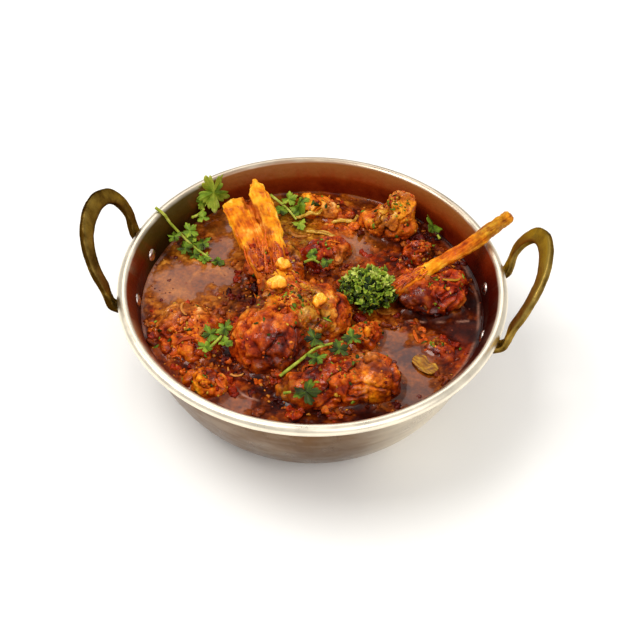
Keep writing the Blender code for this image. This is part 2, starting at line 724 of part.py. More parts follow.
class Bed:
    """The solids under the herbs, which tells how high a piece has to lie."""

    def __init__(self, food):
        self.tree = tree_of(food)

    def height(self, x, y, reach):
        """The highest food within reach of (x, y)."""
        best = 0.0
        for distance in (0.0, 0.5 * reach, reach):
            for k in range(8 if distance else 1):
                turn = math.tau * k / 8
                start = Vector((x + distance * math.cos(turn), y + distance * math.sin(turn), 150.0))
                hit = self.tree.ray_cast(start, Vector((0.0, 0.0, -1.0)))[0]
                if hit is not None:
                    best = max(best, hit.z)
        return best

    def keep_in(self, point, clearance):
        """Push a point off the rim's bead, or pull it inside the wall below the bead."""
        radius = math.hypot(point.x, point.y)
        height = point.z
        if height > bead_point(BEAD_START)[1]:
            off = Vector((radius - BEAD_CENTRE[0], height - BEAD_CENTRE[1]))
            if off.length < BEAD_RADIUS + clearance:
                off = off.normalized() * (BEAD_RADIUS + clearance)
            new_radius, height = BEAD_CENTRE[0] + off.x, BEAD_CENTRE[1] + off.y
        else:
            new_radius = min(radius, cavity_radius(height) - WALL_TILT * clearance)
        return Vector((point.x * new_radius / radius, point.y * new_radius / radius, height))

    def settle(self, points, clearance, reach, lying=True):
        """Keep points clear of the food and the karahi. Points of a lying piece are first lifted above the food."""
        settled = []
        for x, y, z in points:
            point = self.keep_in(Vector((x, y, z)), clearance)
            if lying:
                point.z = max(point.z, self.height(point.x, point.y, reach) + clearance)
            for _ in range(PUSHES):
                near, normal, _, distance = self.tree.find_nearest(point)
                if distance >= clearance:
                    break
                away = (point - near) / distance if distance > 0.01 else normal
                point = self.keep_in(near + away * clearance * 1.02, clearance)
            settled.append(point[:])
        return np.array(settled)


def draped_path(bed, way_points, half_thickness):
    """A smooth path that lies on the food."""
    way = [(*point[:2], point[2] if len(point) > 2 else GRAVY_LEVEL) for point in way_points]
    path = smooth_path(way, STATION)
    clearance = half_thickness + GAP + DRAPE_SLACK
    path = bed.settle(path, clearance, STEM_REACH)
    eased = path.copy()
    eased[1:-1] = (path[:-2] + 2 * path[1:-1] + path[2:]) / 4
    return bed.settle(eased, clearance, STEM_REACH)


def make_stem(name, path, collection):
    """A round stem: a curve with a bevel depth, made a mesh and welded at its caps."""
    curve = bpy.data.curves.new(name, "CURVE")
    curve.dimensions = "3D"
    curve.bevel_depth = STEM_RADIUS * MM
    curve.bevel_resolution = 1
    curve.use_fill_caps = True
    spline = curve.splines.new("POLY")
    spline.points.add(len(path) - 1)
    for point, place in zip(spline.points, path):
        point.co = (*(np.asarray(place) * MM), 1.0)
    holder = bpy.data.objects.new(name + "_curve", curve)
    collection.objects.link(holder)
    bpy.context.view_layer.update()
    evaluated = holder.evaluated_get(bpy.context.evaluated_depsgraph_get())
    mesh = bpy.data.meshes.new_from_object(evaluated)
    bpy.data.objects.remove(holder, do_unlink=True)
    bpy.data.curves.remove(curve)
    shape = bmesh.new()
    shape.from_mesh(mesh)
    bmesh.ops.remove_doubles(shape, verts=shape.verts, dist=MERGE)
    bmesh.ops.recalc_face_normals(shape, faces=shape.faces)
    shape.to_mesh(mesh)
    shape.free()
    mesh.name = name
    obj = bpy.data.objects.new(name, mesh)
    collection.objects.link(obj)
    return obj


def make_leaf(name, base, leaf, bed, collection, phase=0.0):
    """A thin wavy leaf with rounded lobes. It starts at base and lies clear of the bed."""
    heading, rise, roll, length, lobes = leaf
    turn = math.radians(heading)
    lift = math.radians(rise)
    forward = np.array([math.cos(turn) * math.cos(lift), math.sin(turn) * math.cos(lift), math.sin(lift)])
    across = np.array([-math.sin(turn), math.cos(turn), 0.0])
    normal = np.cross(forward, across)
    tip = math.radians(roll)
    across, normal = across * math.cos(tip) + normal * math.sin(tip), normal * math.cos(tip) - across * math.sin(tip)
    count = 3 * lobes
    angle = np.arange(count) * math.tau / count + math.pi  # the first point is on the stalk's side
    radius = 0.5 * length * (0.80 - 0.22 * np.cos(lobes * (angle - math.pi)))
    ring_x = 0.5 * length + radius * np.cos(angle)
    ring_y = 0.9 * radius * np.sin(angle)
    wave = LEAF_WAVE * np.sin(2 * angle + phase)
    local = np.column_stack([ring_x, ring_y, wave])
    local[0] = (-0.3, 0.0, 0.0)  # this corner reaches into the stem
    local = np.vstack([[0.5 * length, 0.0, 0.3], local])
    middle = np.asarray(base) + local[:, :1] * forward + local[:, 1:2] * across + local[:, 2:] * normal
    lying = abs(roll) < STANDING_ROLL
    settled = bed.settle(middle, LEAF_THICKNESS / 2 + GAP + DRAPE_SLACK, LEAF_REACH, lying)
    settled[1] = middle[1]
    half = normal * LEAF_THICKNESS / 2
    points = np.vstack([settled + half, settled - half])
    size = count + 1
    faces = []
    for k in range(count):
        a = 1 + k
        b = 1 + (k + 1) % count
        faces.append((0, a, b))
        faces.append((size, size + b, size + a))
        faces.append((a, size + a, size + b))
        faces.append((a, size + b, b))
    return add_mesh(name, points, faces, collection)


def make_sprig(name, way_points, leaves, bed, collection):
    """A stem with its leaves fused on."""
    path = draped_path(bed, way_points, STEM_RADIUS)
    stem = make_stem(name, path, collection)
    parts = []
    for number, (place, *leaf) in enumerate(leaves):
        base = path[round(place * (len(path) - 1))]
        parts.append(make_leaf(f"{name}_{number}", base, leaf, bed, collection, phase=1.7 * number))
    return fuse(stem, parts)


def make_tuft(name, core, bed, collection):
    """The heap's core with leaves spread over its dome by the golden angle."""
    (centre, axes), = TUFT_CORE
    parts = []
    for number in range(TUFT_LEAVES):
        spread = TUFT_SPREAD * math.sqrt((number + 0.5) / TUFT_LEAVES)
        turn = GOLDEN_ANGLE * number
        x = centre[0] + spread * math.cos(turn)
        y = centre[1] + spread * math.sin(turn)
        dome = math.sqrt(max(0.05, 1.0 - (spread / axes[0]) ** 2))
        base = (x, y, centre[2] + axes[2] * dome - 1.2)
        rise = 55.0 - 6.0 * spread + RNG.uniform(-10.0, 10.0)
        length = TUFT_LEAF * RNG.uniform(0.85, 1.15)
        heading = math.degrees(turn) + RNG.uniform(-35.0, 35.0)
        leaf = (heading, rise, 0.0, length, TUFT_LOBES)
        parts.append(make_leaf(f"{name}_{number}", base, leaf, bed, collection, phase=1.1 * number))
    return fuse(core, parts)


def make_sliver(name, way_points, width, thickness, bed, collection):
    path = draped_path(bed, way_points, thickness / 2)
    count = len(path)
    taper = np.clip(np.sin(np.linspace(0.12, 0.88, count) * math.pi) * 1.5, 0.4, 1.0)
    return loft(name, path, taper * width / 2, np.full(count, thickness / 2), collection, sides=6)


def make_flakes(shank, neighbours, collection):
    """Chopped cilantro: short five-sided discs set half into the top of the shank, clear of its neighbours."""
    tree = tree_of([shank])
    beside = tree_of(neighbours)
    middle = np.mean([centre for centre, _ in MEAT["meat_shank"]], axis=0)
    flakes = []
    for number in range(FLAKES):
        spread = FLAKE_SPREAD * math.sqrt((number + 0.5) / FLAKES)
        turn = GOLDEN_ANGLE * number + 0.6
        start = Vector((middle[0] + spread * math.cos(turn), middle[1] + spread * math.sin(turn), 150.0))
        hit, normal, _, _ = tree.ray_cast(start, Vector((0.0, 0.0, -1.0)))
        if hit is None or normal.z < 0.5:
            continue
        radius = FLAKE_RADIUS * RNG.uniform(0.7, 1.2)
        if beside.find_nearest(hit)[3] < radius + 2.0 * GAP:
            continue
        half = FLAKE_HEIGHT / 2
        profile = [(0.0, -half), (radius, -half), (0.8 * radius, half), (0.0, half)]
        flakes.append(lathe_along(f"flake_{number}", profile, hit, normal, FLAKE_SIDES, collection))
    return fuse(shank, flakes)


# ---------------------------------------------------------------- the whole


def main():
    clear_scene()
    parts = new_collection("goat_curry")
    cutters = new_collection("cutters")
    paint = make_materials()

    karahi = make_karahi(parts)
    holes = []
    for name, centre, outward in rivet_places():
        finish(make_rivet(name, centre, outward, parts), paint["rivet_steel"], 40.0)
        holes.append(make_rivet_hole(name, centre, outward, cutters))
    finish(carve(karahi, holes), paint["steel"], 40.0)
    for name, (side, stretch) in HANDLES.items():
        handle = make_handle(name, side, stretch, parts)
        own_holes = [hole for hole in holes if name[7:] in hole.name]
        finish(carve(handle, own_holes), paint["brass"], 40.0)

    # What was made first stays whole, and each later piece is cut round it.
    grown = {}
    food = []
    for name, lobe in GARLIC.items():
        food.append(finish(lump(name, [lobe], parts, level="bit", uneven=0.2), paint["garlic"]))
        grown[name] = lump(name + "_grown", [lobe], cutters, level="bit", uneven=0.2, grow=CUT_GAP)
    food.append(finish(make_shank_bone("shank_bone", parts), paint["bone"], 50.0))
    grown["shank_bone"] = make_shank_bone("shank_bone_grown", cutters, grow=CUT_GAP)
    food.append(finish(loft_stations("rib_bone", RIB_BONE, parts), paint["bone"], 50.0))
    grown["rib_bone"] = loft_stations("rib_bone_grown", RIB_BONE, cutters, grow=CUT_GAP)
    for name, lobes in MEAT.items():
        piece = lump(name, lobes, parts, level=meat_level(name))
        carve(piece, [cutter for cutter in grown.values() if boxes_meet(piece, cutter)])
        grown[name] = lump(name + "_grown", lobes, cutters, level=meat_level(name), grow=CUT_GAP)
        food.append(finish(piece, paint["meat"]))

    core = lump("cilantro_tuft", TUFT_CORE, parts, level="small", uneven=0.5)
    carve(core, [cutter for cutter in grown.values() if boxes_meet(core, cutter)])
    grown["cilantro_tuft"] = lump("cilantro_tuft_grown", TUFT_CORE, cutters, level="small", uneven=0.5, grow=CUT_GAP)

    gravy = make_gravy(parts)
    finish(carve(gravy, [cutter for cutter in grown.values() if boxes_meet(gravy, cutter)]), paint["gravy"], 40.0)
    food.append(gravy)

    shank = bpy.data.objects["meat_shank"]
    make_flakes(shank, [piece for piece in food if piece is not shank], parts)
    finish(shank, paint["meat"])

    bed = Bed(food)
    make_tuft("cilantro_tuft", core, bed, parts)
    beside = [cutter for name, cutter in grown.items() if name != "cilantro_tuft" and boxes_meet(core, cutter)]
    food.append(finish(carve(core, beside), paint["cilantro"]))
    for name, (way_points, leaves) in SPRIGS.items():
        bed = Bed(food)
        food.append(finish(make_sprig(name, way_points, leaves, bed, parts), paint["cilantro"]))
    for name, (way_points, (width, thickness)) in SLIVERS.items():
        bed = Bed(food)
        food.append(finish(make_sliver(name, way_points, width, thickness, bed, parts), paint["ginger"]))

    for cutter in cutters.objects:
        cutter.hide_render = True
        cutter.display_type = "WIRE"


def boxes_meet(obj, other):
    """Whether two objects' bounding boxes overlap."""
    first = mesh_points(obj)
    second = mesh_points(other)
    return bool(np.all(first.min(axis=0) < second.max(axis=0)) and np.all(second.min(axis=0) < first.max(axis=0)))


main()
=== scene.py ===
"""Looks of a goat curry in a small steel karahi with two brass handles.

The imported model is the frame. It is in metres with +Z up, and its origin is the centre of the karahi's base.
Sizes in this script are in millimetres, and MM turns them to metres as each mesh is made. Every piece is a
closed surface worked out with numpy: rows of points between two poles, with a colour at each point.
"""

from __future__ import annotations

import logging
from collections.abc import Callable
from dataclasses import dataclass, field
from enum import Enum
from functools import partial
from math import acos, cos, degrees, dist, hypot, pi, radians, sin, sqrt, tau

import bpy
import numpy as np
from mathutils import Matrix, Vector

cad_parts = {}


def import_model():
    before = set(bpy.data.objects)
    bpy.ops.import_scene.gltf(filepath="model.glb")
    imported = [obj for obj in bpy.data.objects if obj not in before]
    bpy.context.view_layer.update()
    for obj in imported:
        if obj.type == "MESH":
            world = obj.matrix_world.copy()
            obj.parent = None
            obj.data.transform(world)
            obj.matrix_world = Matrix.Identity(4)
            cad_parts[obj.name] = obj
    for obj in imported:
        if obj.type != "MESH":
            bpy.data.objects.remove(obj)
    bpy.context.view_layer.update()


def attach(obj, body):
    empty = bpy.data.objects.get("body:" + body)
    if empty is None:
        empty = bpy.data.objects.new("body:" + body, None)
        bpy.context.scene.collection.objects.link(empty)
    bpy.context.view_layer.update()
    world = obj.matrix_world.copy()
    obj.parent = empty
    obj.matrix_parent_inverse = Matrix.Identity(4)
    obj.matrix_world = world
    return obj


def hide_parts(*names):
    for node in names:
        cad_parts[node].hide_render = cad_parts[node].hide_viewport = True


LOG = logging.getLogger("goat_curry")
Array = np.ndarray
Draws = np.random.Generator
MM = 0.001
GOLDEN_ANGLE = pi * (3.0 - sqrt(5.0))
UP = np.array([0.0, 0.0, 1.0])

# The karahi and its handles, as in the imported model
RIM_HEIGHT = 52.0
BASE_RADIUS = 44.5
SHOULDER_RADIUS = 70.2
SHOULDER_HEIGHT = 46.4
SIDE_POWER = 1.7
STEEL = 1.2
BEAD_RADIUS = 2.2
BEAD_CENTRE = (73.4, RIM_HEIGHT - BEAD_RADIUS)
BEAD_START = 150.0
BEAD_END = -95.0
LEVEL = 38.0  # of the gravy


# -------- numbers and colours


def unit(vectors: Array) -> Array:
    """Vectors scaled to length one."""
    return vectors / np.maximum(np.linalg.norm(vectors, axis=-1, keepdims=True), 1e-9)


def outwards(points: Array) -> Array:
    """Level directions from the Z axis to points."""
    return unit(points * (1, 1, 0))


def once_round(count: int) -> Array:
    """Evenly spaced angles once round."""
    return np.arange(count) * tau / count


def ramp(low: float, high: float, values: Array) -> Array:
    """0 below low, 1 above high, and 3t^2 - 2t^3 between."""
    t = np.clip((values - low) / (high - low), 0, 1)
    return t * t * (3 - 2 * t)


def linear(hex_code: str) -> tuple[float, float, float, float]:
    """Linear red, green, blue and alpha of an sRGB hex code."""
    parts = [int(hex_code[i : i + 2], 16) / 255 for i in (0, 2, 4)]
    return *(c / 12.92 if c <= 0.04045 else ((c + 0.055) / 1.055) ** 2.4 for c in parts), 1


def tinted(coat: Array, colour: Array, share: Array) -> Array:
    """Colours moved towards another by a share for each point."""
    return coat + (colour - coat) * share[:, None]


class Palette(Enum):
    """Five colours of one part of the food, from painted shade in its crevices to painted light on its tops.
    """

    ORANGE = ("420700", "842200", "c24e06", "e27c1a", "f6b24c")
    RUST = ("260200", "620d00", "9e2803", "c8500e", "e48432")
    DARK = ("100000", "280200", "480700", "781c06", "a8461e")
    OLIVE = ("361602", "703c06", "a26a10", "c8982a", "eccc6a")
    AMBER = ("7c2c02", "cc6404", "f49610", "ffb82c", "ffda74")
    TAN = ("4a1a04", "8c460a", "b46a1e", "d08a3e", "e8b078")
    MASALA = ("240401", "561602", "903a06", "c06a18", "e4a23e")
    GRAVY = ("120100", "280300", "480a01", "762804", "aa5414")
    WALL = ("160100", "320400", "5a1202", "822e08", "885020")
    HERB = ("0e1102", "344406", "6c881a", "a2b036", "d4d876")
    STEM = ("424c0c", "78861c", "a4ac38", "c8c860", "e6e49c")
    # Dark greens of painted shade: the inside of the curly heap and the wall beside the herbs
    SHADE_GREEN = ("050802", "0e1604", "1c2e06", "365010", "5e7a1e")

    def colours(self, tone: Array) -> Array:
        """Linear colours for tones from 0 to 1.

        Args:
            tone: One number for each point.

        Returns:
            One row of red, green and blue for each point.
        """
        stops = np.array([linear(code)[:3] for code in self.value])
        places = np.linspace(0, 1, len(stops))
        clipped = np.clip(tone, 0, 1)
        return np.column_stack([np.interp(clipped, places, channel) for channel in stops.T])


R, O, D, V, A, T = Palette.RUST, Palette.ORANGE, Palette.DARK, Palette.OLIVE, Palette.AMBER, Palette.TAN


# Random values at the lattice of the noises, drawn once
LATTICE = np.random.default_rng(11).uniform(-1.0, 1.0, (4096, 3))


def lattice(cells: Array) -> Array:
    """Three random values for each lattice cell, from an exclusive-or hash of its indices."""
    index = (cells[:, 0] * 73856093) ^ (cells[:, 1] * 19349663) ^ (cells[:, 2] * 83492791)
    return LATTICE[index & (len(LATTICE) - 1)]


def noise(points: Array, size: float) -> Array:
    """Gradient noise: each corner's random slope times the way from it, eased between the eight corners.

    Args:
        points: The places.
        size: Lattice spacing.

    Returns:
        Values from about -1 to 1.
    """
    scaled = points / size
    cell = np.floor(scaled).astype(np.int64)
    part = scaled - cell
    ease = part**3 * (part * (part * 6 - 15) + 10)
    total = np.zeros(len(points))
    for corner in map(np.array, np.ndindex(2, 2, 2)):
        weight = np.prod(np.where(corner == 1, ease, 1 - ease), axis=1)
        total += weight * np.sum((part - corner) * lattice(cell + corner), axis=1)
    return np.clip(total * 1.9, -1, 1)


def fractal(points: Array, size: float, octaves: int = 3, gain: float = 0.55) -> Array:
    """Noise summed over octaves, each half as large and gain times as strong.

    Args:
        points: The places.
        size: Lattice spacing of the first octave.
        octaves: How many are summed.
        gain: Strength of each for that of the one before.

    Returns:
        Values about 0.
    """
    total = np.zeros(len(points))
    weight = 1
    for octave in range(octaves):
        total += weight * noise(points + 17.3 * octave, size / 2**octave)
        weight *= gain
    return total


def grains(points: Array, size: float) -> tuple[Array, Array]:
    """Round grains: the distance to the nearest of one random seed point in each cell.

    Args:
        points: The places.
        size: Cell size.

    Returns:
        Distance to the seed point in cells, and that grain's own tone from -1 to 1.
    """
    scaled = points / size
    cell = np.floor(scaled).astype(np.int64)
    best = np.full(len(points), 9.0)
    tone = np.zeros(len(points))
    for step in np.ndindex(3, 3, 3):
        there = cell + np.array(step) - 1
        drawn = lattice(there)
        distance = np.linalg.norm(scaled - there - 0.5 - 0.45 * drawn, axis=1)
        nearer = distance < best
        best = np.where(nearer, distance, best)
        tone = np.where(nearer, np.sin(9 * drawn[:, 0] + 5 * drawn[:, 1]), tone)
    return best, tone


# -------- closed surfaces


@dataclass
class Shell:
    """One closed surface: rows of points between a first and a last pole."""

    rows: Array  # Points by row and column. The columns run round.
    first: Array  # the pole before the first row
    last: Array  # the pole after the last row
    # A linear colour for each point, the first pole before the rows and the last pole after them
    coat: Array | None = None
    extra: dict[str, Array] = field(default_factory=dict)  # more numbers for each point, by attribute name

    def points(self) -> Array:
        """All points, pole to pole."""
        return np.vstack([self.first[None], self.rows.reshape(-1, 3), self.last[None]])

    def normals(self) -> Array:
        """Outward directions: the cross product of the ways along rows and columns.

        Returns:
            A direction for each point.
        """
        around = np.roll(self.rows, -1, 1) - np.roll(self.rows, 1, 1)
        first, last = (np.broadcast_to(pole, self.rows[:1].shape) for pole in (self.first, self.last))
        padded = np.concatenate([first, self.rows, last])
        normal = unit(np.cross(padded[2:] - padded[:-2], around))
        if np.sum(normal * (self.rows - self.rows.reshape(-1, 3).mean(axis=0))) < 0:
            normal = -normal
        first, last = (unit(normal[end].mean(axis=0)) for end in (0, -1))
        return np.vstack([first[None], normal.reshape(-1, 3), last[None]])

    def place(self, points: Array) -> None:
        """Take new points, in the order of points()."""
        self.first, self.rows, self.last = points[0], points[1:-1].reshape(self.rows.shape), points[-1]

    def push(self, heights: Array) -> None:
        """Move the points outwards by their heights."""
        self.place(self.points() + self.normals() * heights[:, None])

    def corners(self) -> tuple[Array, Array, Array]:
        """The faces and where they lie on the unrolled surface, four corners each but three at the poles.

        Returns:
            Point numbers and places of all corners, face after face, and the number of corners of each face.
        """
        height, count = self.rows.shape[:2]
        row, column = np.indices((height - 1, count)).reshape(2, -1)
        ring, zero = np.arange(count), np.zeros(count)
        faces = (
            ((row + 1, row + 2, row + 2, row + 1), (column, column, column + 1, column + 1)),
            ((zero, zero + 1, zero + 1), (ring + 0.5, ring, ring + 1)),
            ((zero + height, zero + height, zero + height + 1), (ring + 1, ring, ring + 0.5)),
        )
        down, across = (np.concatenate([np.column_stack(face[k]).ravel() for face in faces]) for k in (0, 1))
        numbers = 1 + (down - 1) * count + np.floor(across) % count
        numbers = np.clip(numbers, 0, height * count + 1).astype(int)
        places = np.column_stack([across / count, down / (height + 1)])
        quads = 4 * len(row)
        fours, threes = numbers[:quads].reshape(-1, 4), numbers[quads:].reshape(-1, 3)
        points = self.points() - self.points().mean(axis=0)
        a, b, c = points[np.vstack([fours[:, :3], fours[:, [0, 2, 3]], threes])].transpose(1, 0, 2)
        order = np.arange(len(numbers))
        if np.sum(a * np.cross(b, c)) < 0:
            kinds = order[:quads].reshape(-1, 4), order[quads:].reshape(-1, 3)
            order = np.concatenate([kind[:, ::-1] for kind in kinds], None)
        return numbers[order], places[order], np.repeat([4, 3], [len(row), 2 * count])


def add_object(name: str, data: bpy.types.ID) -> bpy.types.Object:
    """Put an object in the scene.

    Args:
        name: Its name.
        data: Its mesh, lamp or camera.

    Returns:
        The object.
    """
    obj = bpy.data.objects.new(name, data)
    bpy.context.scene.collection.objects.link(obj)
    return obj


def build_piece(name: str, shells: list[Shell], material: bpy.types.Material, slot: str, *nodes: str) -> None:
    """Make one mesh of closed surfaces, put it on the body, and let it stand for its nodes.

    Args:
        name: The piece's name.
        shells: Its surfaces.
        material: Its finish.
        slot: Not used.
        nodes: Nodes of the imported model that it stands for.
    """
    faces = [shell.corners() for shell in shells]
    starts = np.cumsum([0, *(len(shell.points()) for shell in shells)])
    points = np.vstack([shell.points() for shell in shells])
    numbers = np.concatenate([face[0] + start for face, start in zip(faces, starts)])
    places, sizes = (np.concatenate([face[k] for face in faces]) for k in (1, 2))
    mesh = bpy.data.meshes.new(name)
    mesh.vertices.add(len(points))
    mesh.vertices.foreach_set("co", (points * MM).ravel())
    mesh.loops.add(len(numbers))
    mesh.loops.foreach_set("vertex_index", numbers.astype(np.int32))
    mesh.polygons.add(len(sizes))
    mesh.polygons.foreach_set("loop_start", np.concatenate([[0], np.cumsum(sizes)[:-1]]).astype(np.int32))
    mesh.update(calc_edges=True)
    mesh.uv_layers.new(name="unrolled").data.foreach_set("uv", places.ravel())
    if shells[0].coat is not None:
        coat = np.vstack([shell.coat for shell in shells])
        colour = mesh.attributes.new("coat", "FLOAT_COLOR", "POINT")
        colour.data.foreach_set("color", np.column_stack([coat, np.ones(len(coat))]).ravel())
    for key in shells[0].extra:
        values = mesh.attributes.new(key, "FLOAT", "POINT")
        values.data.foreach_set("value", np.concatenate([shell.extra[key] for shell in shells]))
    mesh.shade_smooth()
    mesh.materials.append(material)
    obj = add_object(name, mesh)
    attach(obj, "root")
    if nodes:
        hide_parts(*nodes)
    LOG.info("%s: %d points, %d faces", name, len(points), len(sizes))


def smooth_path(way_points: Array, spacing: float) -> Array:
    """Evenly spaced points on a Catmull-Rom curve through the way points.

    Args:
        way_points: One row for each way point. Columns past the first three are carried along.
        spacing: Distance between the points.

    Returns:
        One row for each point.
    """
    way = np.asarray(way_points, dtype=float)
    ends = np.vstack([2 * way[0] - way[1], way, 2 * way[-1] - way[-2]])
    t = np.linspace(0, 1, 24, endpoint=False)[:, None]
    fine = []
    for a, b, c, d in zip(ends, ends[1:], ends[2:], ends[3:]):
        bend = (2 * a - 5 * b + 4 * c - d) * t**2 + (3 * b - a - 3 * c + d) * t**3
        fine.append(0.5 * (2 * b + (c - a) * t + bend))
    fine = np.vstack([*fine, way[-1:]])
    along = np.concatenate([[0], np.cumsum(np.linalg.norm(np.diff(fine[:, :3], axis=0), axis=1))])
    stations = np.linspace(0, along[-1], max(4, round(along[-1] / spacing) + 1))
    return np.column_stack([np.interp(stations, along, column) for column in fine.T])


def sweep(
    path: Array, frame: tuple[Array, Array], width: Array, thickness: Array, columns: int, square: float
) -> Shell:
    """A bar with rounded ends: a superellipse section carried along a path.

    The section is (w |cos|^p, t |sin|^p) with p = 2 / square, and the last rings shrink as a quarter circle.

    Args:
        path: Points along the middle.
        frame: Directions of the width and of the thickness at each point.
        width: Half-width at each point.
        thickness: Half-thickness at each point.
        columns: Points round the section.
        square: 2 for an ellipse, more for a squarer section.

    Returns:
        The bar.
    """
    turn = once_round(columns)
    wide, tall = (np.sign(wave) * np.abs(wave) ** (2 / square) for wave in (np.cos(turn), np.sin(turn)))
    rings = path[:, None] + frame[0][:, None] * (width[:, None] * wide)[..., None]
    rings = rings + frame[1][:, None] * (thickness[:, None] * tall)[..., None]
    turns = np.radians([30, 60, 80])
    shrink = 1 - (1 - np.cos(turns)) * np.array([0.35, 0.5, 0.75])
    round_off = 0.35 * min(thickness[0], thickness[-1])
    ways = unit(path[0] - path[1]), unit(path[-1] - path[-2])
    caps = []
    for end, way in zip((0, -1), ways):
        steps = zip(shrink, round_off * np.sin(turns))
        caps.append([path[end] + (rings[end] - path[end]) * s + way * d for s, d in steps])
    rows = np.stack([*caps[0][::-1], *rings, *caps[1]])
    return Shell(rows, path[0] + ways[0] * round_off, path[-1] + ways[1] * round_off)


def level_frame(path: Array) -> tuple[Array, Array]:
    """Directions across a path, lying level, and up from it.

    Args:
        path: Points along the middle.

    Returns:
        Both directions at each point.
    """
    along = unit(np.gradient(path, axis=0))
    across = unit(np.cross(along, UP))
    return across, np.cross(across, along)


# -------- finishes


def add_node(
    tree: bpy.types.NodeTree, kind: str, inputs: dict, output: int | str = 0, **settings: object
) -> object:
    """Add one node, set it up and link it.

    Args:
        tree: The node tree.
        kind: The node's type, without its first word, ShaderNode.
        inputs: Values or output sockets for its inputs, by name or number.
        output: Which of its outputs is wanted.
        settings: The node's own properties.

    Returns:
        That output, or None for the last node.
    """
    node = tree.nodes.new("ShaderNode" + kind)
    for key, value in settings.items():
        setattr(node, key, value)
    for key, value in inputs.items():
        if isinstance(value, bpy.types.NodeSocket):
            tree.links.new(value, node.inputs[key])
        else:
            node.inputs[key].default_value = value
    return node.outputs[output] if node.outputs else None


def new_material(name: str) -> tuple[bpy.types.Material, Callable, bpy.types.NodeSocket]:
    """A material whose node tree holds only the place on the object.

    Args:
        name: What it is and how it was made.

    Returns:
        The material, add_node for its tree, and the place.
    """
    material = bpy.data.materials.new(name)
    material.use_nodes = True
    material.node_tree.nodes.clear()
    node = partial(add_node, material.node_tree)
    return material, node, node("TexCoord", {}, "Object")


@dataclass(frozen=True)
class FoodFinish:
    """Food whose colour is painted point by point in the coat attribute.

    The shader adds speckles finer than the mesh, bumps, patchy gloss and a film of oil over all.
    """

    name: str  # what the food is and how it was cooked
    speckle: float = 0.9  # size of the fine speckles
    contrast: float = 0.35  # how strongly the speckles change the colour
    bump: float = 0.18  # height of the bumps
    bump_size: float = 0.8  # size of the bumps
    roughness: tuple[float, float] = (0.32, 0.55)  # lowest and highest roughness
    shine: float = 0.22  # how much the wet surface mirrors, where 0.5 is that of water or oil
    film: float = 0.6  # weight of the film of oil where the oil attribute is 1
    film_roughness: float = 0.14  # roughness of the film
    depth: float = 0.1  # weight of the light that scatters inside
    scatter: float = 1.2  # how far the light scatters

    def material(self) -> bpy.types.Material:
        """Build the material.

        Returns:
            The material.
        """
        material, node, place = new_material(self.name)
        coat = node("Attribute", {}, "Color", attribute_name="coat")
        oil = node("Attribute", {}, "Fac", attribute_name="oil")
        size = self.speckle * MM
        fine = node("TexNoise", {"Vector": place, "Scale": 1 / size, "Detail": 3, "Roughness": 0.6})
        value = node("MapRange", {0: fine, 1: 0.3, 2: 0.7, 3: 1 - self.contrast, 4: 1 + self.contrast})
        patchy = node("TexNoise", {"Vector": place, "Scale": 0.4 / size})
        smoothest, roughest = self.roughness
        grain = node("TexNoise", {"Vector": place, "Scale": 1 / (self.bump_size * MM), "Detail": 4})
        bump = node("Bump", {"Height": grain, "Distance": self.bump * MM})
        inputs = {
            "Base Color": node("HueSaturation", {"Color": coat, "Value": value}),
            "Roughness": node("MapRange", {0: patchy, 1: 0.35, 2: 0.65, 3: smoothest, 4: roughest}),
            "IOR": 1.45,
            "Specular IOR Level": self.shine,
            "Normal": bump,
            "Coat Weight": node("Math", {0: oil, 1: self.film}, operation="MULTIPLY"),
            "Coat Roughness": self.film_roughness,
            "Coat IOR": 1.47,
            "Coat Normal": bump,
            "Subsurface Weight": self.depth,
            "Subsurface Radius": (1, 0.4, 0.15),
            "Subsurface Scale": self.scatter * MM,
        }
        node("OutputMaterial", {0: node("BsdfPrincipled", inputs)})
        return material


